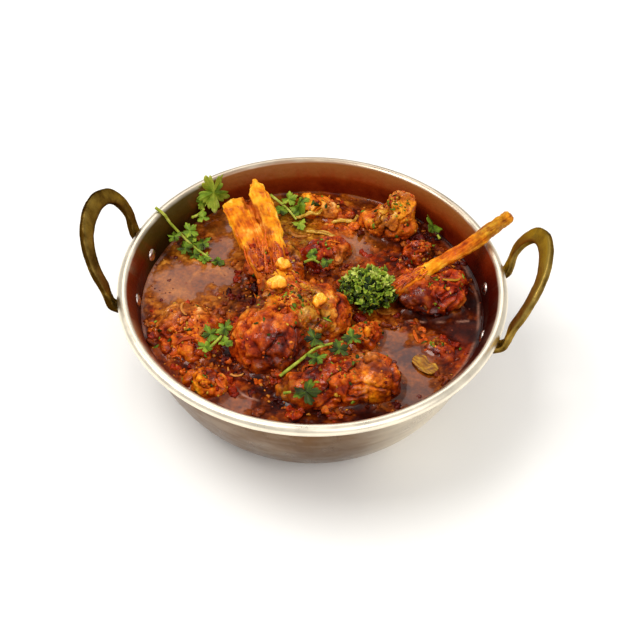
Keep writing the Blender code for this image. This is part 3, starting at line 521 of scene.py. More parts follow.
@dataclass(frozen=True)
class SaucedSteel:
    """Pressed stainless steel, dulled outside by the stove and filmed with sauce inside.

    Fine turning marks run round it. The film attribute says where sauce of the coat's colour clings, and the
    tarnish attribute where heat has browned the metal.
    """

    name: str = "stainless steel, pressed and turned"  # what it is
    bright: str = "fbf0da"  # colour of the clean metal
    browned: str = "6e4c26"  # colour of the tarnished metal
    mark: float = 0.9  # millimetres from one turning mark to the next, coarser than real to show
    smudge: float = 9.0  # size of the dull smudges
    droplet: float = 2.2  # size of the runs in the film of sauce

    def material(self) -> bpy.types.Material:
        """Build the material.

        Returns:
            The material.
        """
        material, node, place = new_material(self.name)
        coat = node("Attribute", {}, "Color", attribute_name="coat")
        film, tarnish = (node("Attribute", {}, "Fac", attribute_name=name) for name in ("film", "tarnish"))
        stretched = node("Mapping", {"Vector": place, "Scale": (60, 60, 1 / (self.mark * MM))})
        marks = node("TexNoise", {"Vector": stretched, "Scale": 1, "Detail": 4})
        size = self.smudge * MM
        smudge = node("TexNoise", {"Vector": place, "Scale": 1 / size, "Detail": 5, "Roughness": 0.65})
        ends = {6: linear(self.bright), 7: linear(self.browned)}
        colour = node("Mix", {0: tarnish, **ends}, 2, data_type="RGBA")
        dulling = node("MapRange", {0: smudge, 1: 0.3, 2: 0.7, 3: 0.85, 4: 1.06})
        metal = {
            "Base Color": node("HueSaturation", {"Color": colour, "Value": dulling}),
            "Metallic": 1,
            "Roughness": node("MapRange", {0: smudge, 1: 0.3, 2: 0.7, 3: 0.24, 4: 0.42}),
            "Normal": node("Bump", {"Height": marks, "Distance": 0.05 * MM, "Strength": 0.6}),
        }
        droplets = node("TexNoise", {"Vector": place, "Scale": 1 / (self.droplet * MM), "Detail": 4})
        sauce = {
            "Base Color": coat,
            "Roughness": 0.36,
            "IOR": 1.45,
            "Specular IOR Level": 0.12,
            "Normal": node("Bump", {"Height": droplets, "Distance": 0.35 * MM}),
        }
        clean, sauced = (node("BsdfPrincipled", inputs) for inputs in (metal, sauce))
        node("OutputMaterial", {0: node("MixShader", {0: film, 1: clean, 2: sauced})})
        return material


@dataclass(frozen=True)
class AgedMetal:
    """Bare metal with a patina: brown in its low places and on its edges, brighter where hands rub it."""

    name: str  # what it is
    rubbed: str  # colour where it is bright
    patina: str  # colour where it is dull
    spots: float  # size of the patches
    roughness: tuple[float, float]  # lowest and highest roughness
    pitting: float  # depth of the casting's pits
    pit: float = 0.9  # size of the pits

    def material(self) -> bpy.types.Material:
        """Build the material.

        Returns:
            The material.
        """
        material, node, place = new_material(self.name)
        wear = node("Attribute", {}, "Fac", attribute_name="wear")
        size = self.spots * MM
        patches = node("TexNoise", {"Vector": place, "Scale": 1 / size, "Detail": 5, "Roughness": 0.7})
        mixed = node("Math", {0: patches, 1: wear}, operation="ADD")
        share = node("MapRange", {0: mixed, 1: 0.55, 2: 1.15})
        smoothest, roughest = self.roughness
        ends = {6: linear(self.patina), 7: linear(self.rubbed)}
        colour = node("Mix", {0: share, **ends}, 2, data_type="RGBA")
        pits = node("TexNoise", {"Vector": place, "Scale": 1 / (self.pit * MM), "Detail": 5})
        inputs = {
            "Base Color": colour,
            "Metallic": 1,
            "Specular Tint": colour,
            "Roughness": node("MapRange", {0: share, 3: roughest, 4: smoothest}),
            "Normal": node("Bump", {"Height": pits, "Distance": self.pitting * MM}),
        }
        node("OutputMaterial", {0: node("BsdfPrincipled", inputs)})
        return material


# Goat braised in onion and tomato masala: soft fibres under a thick, oily, grainy sauce
BRAISED_MEAT = FoodFinish("goat braised in masala", shine=0.14, film=0.8, film_roughness=0.11)
# Cooked bone stained by turmeric and oil: smooth, dense and slightly see-through
COOKED_BONE = FoodFinish("bone stained by turmeric", 1.6, 0.2, 0.1, 0.7, shine=0.1, film=0.2, depth=0.08)
# Thick gravy under a skin of oil: almost a mirror at a low angle
OILY_GRAVY = FoodFinish("gravy under oil", 1.2, 0.3, 0.03, 1.5, (0.3, 0.45), 0.06, 0.9, 0.09, 0.0)
# Fresh cilantro: thin soft leaf, waxy above, that lets light through
FRESH_CILANTRO = FoodFinish("fresh cilantro", 0.6, 0.2, 0.06, 0.5, (0.4, 0.6), depth=0.12)
# Garlic cooked soft: pale, dense and wet
SOFT_GARLIC = FoodFinish("garlic cooked soft", 1.0, 0.15, 0.1, 0.7, depth=0.3)
# Ginger and onion cooked in oil: fibrous, half see-through and wet
COOKED_SLIVER = FoodFinish("ginger and onion slivers", 0.7, 0.25, 0.08, 0.5, depth=0.25)
# Coarse paste of onion, tomato and ground spice: dull, with hard grains
GROUND_MASALA = FoodFinish("ground masala", 0.5, 0.4, 0.1, 0.4)
# Beads of chilli-red oil, clear and smooth
CHILLI_OIL = FoodFinish("chilli oil", 1.0, 0.1, 0.0, roughness=(0.08, 0.14), shine=0.4, depth=0.2)
# Cast brass gone brown, rubbed on its broad face
AGED_BRASS = AgedMetal("aged cast brass", "ae9048", "462f0a", 6.0, (0.34, 0.55), 0.14)
# Drawn steel rivets with polished heads
RIVET_STEEL = AgedMetal("polished rivet steel", "f0e0d8", "8c7468", 3.0, (0.16, 0.3), 0.02)


# -------- karahi


def side_profile(offset: float, count: int) -> Array:
    """The side from base to shoulder: a superellipse quarter, moved inwards by offset along its normal.

    Args:
        offset: Distance inwards.
        count: Number of points.

    Returns:
        Rows of radius and height.
    """
    power = 2 / SIDE_POWER
    last_turn = acos((1 - SHOULDER_HEIGHT / RIM_HEIGHT) ** (1 / power))
    turn = np.linspace(0, last_turn, count)
    radius = BASE_RADIUS + (SHOULDER_RADIUS - BASE_RADIUS) * np.sin(turn) ** power
    height = RIM_HEIGHT * (1 - np.cos(turn) ** power)
    run_radius, run_height = np.gradient(radius), np.gradient(height)
    run_radius[0], run_height[0] = 1, 0
    length = np.hypot(run_radius, run_height)
    return np.column_stack([radius - offset * run_height / length, height + offset * run_radius / length])


def bead_profile(count: int) -> Array:
    """Rows of radius and height round the rolled rim, from its inside to its outside."""
    turn = np.radians(np.linspace(BEAD_START, BEAD_END, count))
    return BEAD_CENTRE + BEAD_RADIUS * np.column_stack([np.cos(turn), np.sin(turn)])


def cavity_radius(height: Array) -> Array:
    """Inside radius of the karahi at heights up to the bead."""
    profile = np.vstack([side_profile(STEEL, 60), bead_profile(9)[:1]])
    return np.interp(height, profile[:, 1], profile[:, 0])


def turn_profile(profile: Array, columns: int) -> Array:
    """Points by row and column of a profile of radius and height turned round the Z axis."""
    turn, radius, height = once_round(columns), profile[:, :1], profile[:, 1:]
    return np.stack(np.broadcast_arrays(radius * np.cos(turn), radius * np.sin(turn), height), 2)


@dataclass
class Karahi:
    """The turned steel bowl."""

    columns: int = 288  # points round it
    film_top: float = 51.4  # height that the sauce film reaches at the sides
    film_top_back: float = 51.9  # height that it reaches at the back, where the sauce was poured
    herb_shade_side: tuple[float, float] = (-0.9, 0.44)  # direction of the wall where the herbs' shade is painted dark green

    def build(self) -> None:
        """Turn the profile and paint the film of sauce and the tarnish."""
        inner, bead, outer = side_profile(STEEL, 44), bead_profile(25), side_profile(0, 44)[::-1]
        floor = np.column_stack([np.linspace(4.0, inner[0, 0] - 4.0, 8), np.full(8, STEEL)])
        under = np.column_stack([np.linspace(outer[-1, 0] - 4, 4, 8), np.zeros(8)])
        profile = np.vstack([floor, inner, bead, outer, under])
        shell = Shell(turn_profile(profile, self.columns), STEEL * UP, 0 * UP)
        past_wall = np.arange(len(profile)) - len(floor) - len(inner)
        inward = np.repeat(np.clip(1 - past_wall / 6, 0, 1), self.columns)
        shell.coat, film = self.sauce(shell.points())
        film = film * np.concatenate([[1], inward, [0]])
        shell.extra = {"film": film, "tarnish": self.tarnish(shell.points())}
        build_piece("karahi_bowl", [shell], SaucedSteel().material(), "steel", "karahi")

    def sauce(self, points: Array) -> tuple[Array, Array]:
        """Colour and cover of the sauce on the wall: uneven streaks that thin out towards the rim.

        Painted shade darkens the wall's right side, and dark green painted shade lies beside the herbs.

        Args:
            points: Places on the wall.

        Returns:
            A linear colour and a share of cover for each point.
        """
        azimuth = outwards(points)
        back = ramp(-0.2, 0.75, azimuth[:, 1])
        streaks = fractal(points, 13, 4, 0.5)
        front = ramp(0.3, 0.85, -azimuth[:, 1])
        reach = self.film_top + (self.film_top_back - self.film_top) * back - 2 * front + 0.5 * streaks
        film = ramp(0.6, -0.6, points[:, 2] - reach)
        high = ramp(LEVEL + 1, RIM_HEIGHT - 1, points[:, 2])
        left = ramp(0.3, -0.6, azimuth[:, 0])
        right = ramp(0.2, 0.8, azimuth[:, 0]) * ramp(0.6, 0.1, azimuth[:, 1])
        # Lighter on the left, at the back and towards the rim; painted shade darkens the right side
        tone = 0.22 + 0.06 * left - 0.12 * right + 0.32 * back + (0.3 + 0.2 * back - 0.16 * right) * high**2
        tone = tone + 0.07 * streaks + 0.05 * noise(points, 2.4)
        # Painted shade of the herbs: the wall beside them turns dark green
        beside = azimuth[:, :2] @ np.array(self.herb_shade_side) + 0.03 * fractal(points + 40, 9, 4, 0.6)
        herb_shade = Palette.SHADE_GREEN.colours(0.28 + 0.22 * high + 0.05 * streaks)
        return tinted(Palette.WALL.colours(tone), herb_shade, 0.78 * ramp(0.9, 0.985, beside)), film

    def tarnish(self, points: Array) -> Array:
        """Share of browned metal: the lower outside and the inside, with streaks that run round it.

        The right front keeps less of it, a painted reflection of bright metal.

        Args:
            points: Places on the steel.

        Returns:
            A share for each point.
        """
        azimuth = outwards(points)
        middle = np.interp(points[:, 2], *side_profile(0.5 * STEEL, 60).T[::-1])
        within = (np.hypot(points[:, 0], points[:, 1]) < middle) * (points[:, 2] < 50.6)
        low = np.maximum(ramp(48.8, 45.2, points[:, 2]), 0.8 * within)
        back = 0.35 * ramp(0.2, 0.7, azimuth[:, 1])
        blotches = 0.07 * fractal(points * (0.3, 0.3, 2.2), 5, 4, 0.7) + 0.03 * fractal(points, 15)
        turned = azimuth[:, 1] + 0.25 * fractal(points * (1, 1, 2), 30)
        # Painted reflection: the right front keeps bright, untarnished metal
        reflection_side = ramp(0.3, 0.75, azimuth[:, 0]) * ramp(0.75, -0.35, turned)
        return np.clip(np.maximum(0.95 * low, back) * (1 - 0.85 * reflection_side) + blotches, 0, 1)


@dataclass
class Handles:
    """Two flat brass bars bent to loops, with round feet riveted to the wall."""

    leg: tuple = (  # way points on the +X side, from the foot to the top of the loop
        (72, 19, 44.8), (74.8, 20.1, 47.2), (75.8, 20.5, 50.5), (77, 20.8, 57.5),
        (79.6, 20, 63.8), (82.4, 16.6, 69.6), (84.9, 9.4, 73.9), (85.7, 0, 75.3),
    )
    base: tuple = (75.8, 0.0, 50.5)  # place from which the loops are stretched
    # for each handle, its side, its stretch and its nodes' ending
    stretches: tuple = ((1.0, 1.06, "right"), (-1.0, 0.98, "left"))
    half_thickness: float = 1.3  # half the bar's thickness
    leg_width: float = 2.6  # half-width of its legs
    top_width: float = 3.7  # half-width at its top
    lean: float = 28.0  # degrees that its broad face leans outwards
    foot_angle: float = 10.9  # degrees of the feet from the X axis
    foot_height: float = 43.3  # height of the feet's middles
    foot_radius: float = 3.7  # radius of the feet
    foot_gap: float = 0.45  # gap between foot and wall
    rivet_radius: float = 2.7  # radius of the rivets' heads
    rivet_crown: float = 1.3  # height of their domes
    columns: int = 28  # points round the bar

    def build(self) -> None:
        """Make both bars and their four rivets."""
        brass, steel = AGED_BRASS.material(), RIVET_STEEL.material()
        for side, stretch, ending in self.stretches:
            build_piece(f"handle_bar_{ending}", [self.bar(side, stretch)], brass, "brass", f"handle_{ending}")
            for y_side, end in ((-1, "front"), (1, "back")):
                rivet, name = self.rivet(side, y_side), f"{ending}_{end}"
                build_piece(f"rivet_head_{name}", [rivet], steel, "rivet_steel", f"rivet_{name}")

    def foot(self, side: float, y_side: float) -> tuple[Array, Array]:
        """Middle of the wall under a foot, and the wall's outward normal.

        Args:
            side: 1 for +X, -1 for -X.
            y_side: 1 for +Y, -1 for -Y.

        Returns:
            The place and the direction.
        """
        radii, heights = side_profile(STEEL / 2, 60).T
        slope = np.interp(self.foot_height, heights, np.gradient(radii, heights))
        normal = unit(np.array([1, -slope]))
        angle = radians(self.foot_angle)
        outward = np.array([side * cos(angle), y_side * sin(angle), 0])
        radius = np.interp(self.foot_height, heights, radii)
        return outward * radius + UP * self.foot_height, outward * normal[0] + UP * normal[1]

    def bar(self, side: float, stretch: float) -> Shell:
        """One bar: a flat rounded section carried from foot to foot, its loop stretched above the rim.

        Args:
            side: 1 for +X, -1 for -X.
            stretch: How much the loop is stretched.

        Returns:
            The bar.
        """
        wall, normal = self.foot(1, 1)
        foot = wall + normal * (STEEL / 2 + self.foot_gap + self.half_thickness)
        reach = unit(np.array([-foot[1], foot[0], 0])) * self.foot_radius
        leg = np.vstack([foot + reach, self.leg])
        base = np.array(self.base)
        above = leg[:, 2] > base[2]
        leg[above] = base + (leg[above] - base) * (stretch, 1, stretch)
        mirror = (1, -1, 1)
        flat = np.array([foot + reach * share for share in (-1, -0.6, -0.2, 0.2, 0.6)])
        path = smooth_path(np.vstack([flat, leg, leg[-2::-1] * mirror, flat[::-1] * mirror]), 0.9)
        along = unit(np.gradient(path, axis=0))
        lean = radians(self.lean)
        loop_normal = np.array([cos(lean), 0, -sin(lean)])
        share = (path[:, 2] - self.foot_height - 1) / (RIM_HEIGHT + 4 - self.foot_height)
        up = unit(tinted(outwards(path) + UP * normal[2], loop_normal, np.clip(share, 0, 1)))
        up = unit(up - along * np.sum(up * along, axis=1, keepdims=True))
        thickness = np.full(len(path), self.half_thickness)
        shell = sweep(path, (np.cross(along, up), up), self.widths(path), thickness, self.columns, 4.5)
        points = shell.points()
        shell.push(0.14 * fractal(points + 40 * side, 6, 3))
        face = np.tile(np.abs(np.sin(once_round(self.columns))) ** 0.7, len(shell.rows))
        rubbed = np.concatenate([[0.2], 0.04 + 0.45 * face, [0.2]])
        shell.extra = {"wear": rubbed + 0.2 * fractal(points, 9, 2) + 0.16 * side}
        shell.place(shell.points() * (side, 1, 1))
        return shell

    def widths(self, path: Array) -> Array:
        """Half-widths along the bar: round feet, narrow legs and a broad top.

        Args:
            path: Points along the middle.

        Returns:
            A half-width for each point.
        """
        step = np.linalg.norm(np.diff(path, axis=0), axis=1)
        along = np.concatenate([[0], np.cumsum(step)])
        from_end = np.minimum(along, along[-1] - along)
        foot, leg = self.foot_radius, self.leg_width
        round_part = foot * np.sqrt(np.clip(1 - (1 - from_end / foot) ** 2, 0.06, 1))
        places = [foot, 2.4 * foot, 0.225 * along[-1], 0.5 * along[-1]]
        beyond = np.interp(from_end, places, [foot, leg, leg, self.top_width])
        return np.where(from_end < foot, round_part, beyond)

    def rivet(self, side: float, y_side: float) -> Shell:
        """A rivet: two domed heads, each a quarter ellipse, and the shank between them.

        Args:
            side: 1 for +X, -1 for -X.
            y_side: 1 for +Y, -1 for -Y.

        Returns:
            The rivet.
        """
        centre, outward = self.foot(side, y_side)
        inner, outer = -STEEL / 2, STEEL / 2 + self.foot_gap + 2 * self.half_thickness + 0.25
        domes = self.rivet_crown, 0.9 * self.rivet_crown
        turn, shank = np.radians(np.linspace(8, 90, 9)), 1.5
        radius, rise = self.rivet_radius * np.sin(turn), np.cos(turn)
        inner_head = np.column_stack([radius, inner - domes[0] * rise])
        outer_head = np.column_stack([radius, outer + domes[1] * rise])[::-1]
        ring = turn_profile(np.vstack([inner_head, [[shank, inner], [shank, outer]], outer_head]), 28)
        across = unit(np.cross(outward, UP))
        up = np.cross(across, outward)
        rows = centre + ring[..., :1] * across + ring[..., 1:2] * up + ring[..., 2:] * outward
        shell = Shell(rows, centre + outward * (inner - domes[0]), centre + outward * (outer + domes[1]))
        shell.extra = {"wear": np.full(len(shell.points()), 0.45)}
        return shell


# -------- meat, bones, garlic


def paint(points: Array, tone: Array, base: Palette, patches: tuple) -> Array:
    """Colours of a piece: its palette and its patches', each mixed in by exp(-(distance / radius)^2).

    Args:
        points: The places.
        tone: How light each point is, from 0 to 1.
        base: The piece's own palette.
        patches: For each place with other colours, its x, y, z, radius, palette and change of tone.

    Returns:
        Linear colours.
    """
    total = 0.22 * base.colours(tone)
    weights = np.full(len(points), 0.22)
    ragged = 1 + 0.45 * fractal(points + 90, 4.5, 3)
    for x, y, z, radius, palette, lift in patches:
        distance = np.linalg.norm(points - (x, y, z), axis=1) / (radius * ragged)
        weight = np.exp(-np.minimum(distance, 6) ** 2)
        total += weight[:, None] * palette.colours(tone + lift)
        weights += weight
    return total / weights[:, None]


def unevenness(points: Array, length: float) -> Array:
    """Low lumps from -1 to 1: sine waves of one length in five directions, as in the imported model.

    Args:
        points: The places.
        length: Wavelength.

    Returns:
        A number for each point.
    """
    total = np.zeros(len(points))
    for k in range(5):
        turn = 2.4 * k
        direction = np.array([cos(turn), sin(turn), sin(1.7 * turn + 0.5)])
        total += np.sin(points @ direction * tau / length + 1.3 * k)
    return total / 3


def blended_ball(lobes: tuple, rows: int, columns: int, blend: float = 1.6) -> Shell:
    """Ellipsoid lobes run together, seen from their middle.

    In each direction the distance to each lobe's surface is the root of a quadratic, and the blended
    distance is blend times the logarithm of the mean of exp(distance / blend).

    Args:
        lobes: For each lobe, its centre's x, y and z and its three half-axes.
        rows: Points from pole to pole.
        columns: Points round.
        blend: How softly the lobes run together.

    Returns:
        The surface.
    """
    polar, turn = np.linspace(0, pi, rows + 2)[1:-1, None], once_round(columns)
    grid = np.broadcast_arrays(np.sin(polar) * np.cos(turn), np.sin(polar) * np.sin(turn), np.cos(polar))
    directions = np.vstack([[UP], np.stack(grid, 2).reshape(-1, 3), [[0, 0, -1]]])
    lobes = np.array(lobes, dtype=float)
    middle = lobes[:, :3].mean(axis=0)
    total = np.zeros(len(directions))
    for lobe in lobes:
        start, step = (middle - lobe[:3]) / lobe[3:], directions / lobe[3:]
        a, b = np.sum(step * step, axis=1), np.sum(step * start, axis=1)
        root = (-b + np.sqrt(np.maximum(b * b - a * (start @ start - 1), 0))) / a
        total += np.exp(root / blend)
    points = middle + directions * (blend * np.log(total / len(lobes)))[:, None]
    points += directions * (0.8 * unevenness(points, 8.5))[:, None]
    return Shell(points[1:-1].reshape(rows, columns, 3), points[0], points[-1])


@dataclass
class Chunk:
    """One piece of meat under its masala."""

    node: str  # the node that it stands for
    palette: Palette  # its colours
    lobes: tuple  # for each lobe, its centre and half-axes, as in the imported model
    patches: tuple  # for each place with other colours, its x, y, z, radius, palette and change of tone
    fibres: tuple[float, float, float] = (0.5, 0.8, 0.2)  # direction of the meat's fibres
    frayed: float = 0.5  # how much the fibres show, from 0 to 1
    fineness: tuple[int, int] = (90, 150)  # rows and columns of points
    lift: float = 0.0  # added to all its tones

    def build(self, material: bpy.types.Material) -> None:
        """Shape the surface, roughen it with fibres, clods and grains, and paint it by height.

        Args:
            material: Its finish.
        """
        shell = blended_ball(self.lobes, *self.fineness)
        points, self.outward = shell.points(), shell.normals()
        low = ramp(LEVEL + 3, LEVEL - 0.5, points[:, 2])
        rough, light = self.relief(points)
        shell.push(rough * (1 - 0.55 * low))
        shell.coat = paint(points, 0.48 + self.lift + light - 0.2 * low, self.palette, self.patches)
        shell.extra = {"oil": ramp(-0.1, 0.5, noise(points + 60, 4) + 0.35 * low)}
        self.points = shell.points()
        build_piece("braised_" + self.node, [shell], material, "meat", self.node)

    def relief(self, points: Array) -> tuple[Array, Array]:
        """Heights of the roughness, and tones that follow them: painted shade low, painted light high.

        Clods and grains are domes, 0.5 - distance, round random seed points. Fibres are noise on a space that
        is squeezed five times along their direction, shown where a slow noise lets them. Creases between the
        muscles are valleys, exp(-(noise / 0.09)^2), along the zero line of a slow noise.

        Args:
            points: Places on the smooth surface.

        Returns:
            Heights in millimetres and tones about 0.
        """
        way = unit(np.array(self.fibres))
        fibres = noise(points - np.outer(points @ way, way) * 0.8, 1.5)
        shown = self.frayed * ramp(-0.35, 0.35, noise(points + 31, 9))
        lumps = noise(points, 7.5)
        knobs = noise(points + 7, 3.4)
        clod, clod_tone = grains(points + 1.2 * np.column_stack([knobs, lumps, fibres]), 3.3)
        grain, grain_tone = grains(points + 0.4 * np.column_stack([fibres, knobs, lumps]), 1.4)
        mottle = fractal(points + 50, 5.5, 3)
        clods, fine = 0.5 - clod, 0.45 - grain
        crease = np.exp(-((fractal(points + 23 + mottle[:, None], 12, 2) / 0.09) ** 2))
        height = 0.6 * lumps + 0.6 * knobs + 0.6 * clods + 0.22 * fine * (1 - 0.7 * shown)
        # Painted shade and light: the tone follows the lumps', clods' and grains' heights and darkens in the
        # creases
        light = 0.12 * lumps + 0.16 * knobs + 0.22 * clods + 0.09 * fine + 0.08 * clod_tone
        light = light + 0.07 * grain_tone + 0.18 * shown * fibres + 0.21 * mottle - 0.24 * crease
        return height + 0.6 * shown * fibres - 1.3 * crease, light


CHUNKS = [
    Chunk(
        "meat_shank", O,
        (
            (-13.5, -26, 41, 16.5, 16.5, 15), (2.5, -8, 40.5, 16, 14, 13.5),
            (-13, -1, 42.5, 10.5, 14.5, 12.3), (-8, -13, 44, 14, 14, 12.5),
        ),
        (
            # The first two dark patches are painted shade in the hollow under the bone
            (-26, -6, 47, 6.5, D, -0.25), (-20.5, -14, 50.5, 5, D, -0.2), (-19, -4, 52, 4, R, -0.1),
            (-10.5, 3, 55.5, 5.5, A, 0.1), (-14.2, -3.2, 54.5, 5, A, 0.1), (-12.5, -10.5, 56.5, 5, A, 0.08),
            (-4.5, -6, 56, 5, V, 0.1), (1.5, -14, 55, 6, V, 0.08), (6.5, -18.5, 49, 5, V, 0.05),
            (11.5, -11, 49, 6, O, 0.12), (14, -6, 45, 6, O, 0), (-13, -25, 54.5, 5, O, 0.15),
            (-22, -33, 46, 7.5, R, 0.12), (-26, -24, 49, 5, O, 0.05), (-5, -29, 50.5, 7, R, -0.06),
            (-12, -38, 43.5, 7, D, -0.05), (0, -34, 45, 6, D, 0), (-8, 9, 50, 5, O, 0.05),
        ),
        (0.35, 0.9, 0.25), 0.6, (230, 380),
    ),
    Chunk(
        "meat_front", O,
        ((6, -47, 39.5, 15, 9, 8.5), (16, -42, 41, 14, 11.5, 11.5), (27.5, -38.5, 41, 13, 11.5, 11)),
        (
            (-3, -49.5, 42, 4.5, V, -0.12), (2.5, -51, 45, 5, R, 0.02), (10.5, -46, 49, 6, R, -0.05),
            (13, -36, 51, 5, R, 0), (21, -51, 46, 5.5, R, 0), (15, -53, 43, 5, O, 0.05),
            (27.5, -43, 49.5, 5.5, A, -0.2), (28, -49.5, 43, 5, A, -0.25), (25, -34.5, 50.5, 4.5, T, 0),
            (37, -41, 44, 5, R, -0.1), (32, -33, 46, 4, O, 0),
        ),
        (1, 0.3, 0.1), 0.5, (150, 240), -0.05,
    ),
    Chunk(
        "meat_rib", R,
        ((47, 7.5, 41.5, 13, 10.5, 10), (38.5, 9, 42.5, 10.5, 8, 8), (53, 13.5, 41, 9.5, 9.5, 9)),
        (
            (38, 10, 50.5, 5, O, 0.05), (44, 8, 51, 5, O, 0.05), (53, 4, 47.5, 7, R, 0.1),
            # The two dark patches are painted shade under the meat's front
            (59, 9, 46, 5, R, 0), (38, 1, 42, 7.5, D, -0.3), (47, -3.5, 41, 6.5, D, -0.15),
        ),
        (0.8, 0.6, 0.1), 0.7, (150, 240),
    ),
    Chunk(
        "meat_left", O,
        (
            (-46.5, -19.5, 38.5, 13.5, 12.5, 7.5), (-40, -28.5, 38.5, 11, 10.5, 7),
            (-49, -26.5, 38, 10.5, 11, 6),
        ),
        (
            (-53, -15, 43, 6.5, T, 0), (-44, -13, 44.5, 6.5, T, -0.02), (-44, -21, 46, 6, O, 0),
            (-43.5, -27, 45, 5, A, -0.25), (-55, -29, 42, 4, R, -0.1), (-46, -34, 42, 5, O, 0),
            (-38, -35, 42, 5, O, -0.05), (-33, -25, 43, 4, D, 0),
        ),
        (0.9, 0.4, 0), 0.4, (150, 240), -0.03,
    ),
    Chunk(
        "meat_back_right", O,
        ((27.5, 47, 42, 12, 9, 9.5), (30.5, 52, 47.5, 7.5, 7, 9), (21.5, 48.5, 40.5, 9.5, 6.5, 6.5)),
        (
            (25, 42.5, 49, 6, V, 0.05), (32, 45, 52, 5, A, -0.15), (30, 52, 56.5, 4, T, 0.05),
            (16, 46, 44, 4.5, O, 0.05), (33, 40, 43.5, 5, R, 0), (24, 39, 43, 5, R, -0.05),
        ),
        (0.3, 0.5, 0.8), 0.6, (150, 240), 0.08,
    ),
    Chunk(
        "meat_neck", O,
        ((-21, 13.5, 42, 10.5, 9, 8.5), (-12.5, 14.5, 41.5, 9.5, 8, 8.5), (-13.5, 22, 41, 7.5, 8.5, 7.5)),
        (
            # The dark patch is painted shade in the hollow under the bone
            (-23, 8, 47, 5, R, 0), (-28, 6, 44, 5.5, D, 0), (-14, 15, 50, 5, A, -0.25),
            (-9, 22, 46, 5, V, -0.1),
        ),
        (0.4, 0.9, 0.1), 0.6, (110, 180),
    ),
    Chunk(
        "meat_back", O,
        ((-7, 55, 39.5, 9, 7, 7.5), (-0.5, 54, 39, 7.5, 5.5, 5.5)),
        ((-7, 52.5, 46, 4.5, A, -0.15), (0, 50.5, 43.5, 3, T, 0)),
        lift=0.1,
    ),
    Chunk(
        "meat_middle", R,
        ((-0.5, 25.5, 39.5, 9, 8, 8), (5, 30, 39, 8.5, 7.5, 7)),
        ((-1, 21, 46, 4.5, R, 0.12), (5, 28, 46, 5, O, 0), (10, 24, 43, 4, T, -0.05)),
    ),
    Chunk(
        "meat_right_small", R,
        ((40, 31.5, 40, 6.5, 6, 6.5),),
        ((38.5, 28.5, 45, 3.5, O, 0), (44, 31, 43, 3.5, V, -0.2)),
        lift=-0.04,
    ),
    Chunk(
        "meat_front_small", O,
        ((21.5, -17.5, 41, 6, 6, 7), (24.5, -15, 39.5, 5.5, 5.5, 5)),
        ((21.5, -20.5, 45.5, 3.5, A, -0.3), (26, -17, 43, 3.5, R, -0.05)),
        lift=-0.02,
    ),
    Chunk(
        "meat_front_left", O,
        ((-35.5, -47, 38.5, 8, 6.5, 6.5), (-31, -49, 38.5, 6.5, 5.5, 5)),
        ((-35, -50, 44, 4, A, -0.22), (-30, -44, 42.5, 4, R, -0.05)),
    ),
    Chunk(
        "meat_right_low", R,
        ((53, -17, 36.8, 7.5, 7, 4), (49, -14.5, 36.8, 6, 5.5, 3.5)),
        ((54, -20, 40, 4, O, -0.08), (49, -13, 39.5, 4, T, -0.1)),
        lift=-0.1,
    ),
]


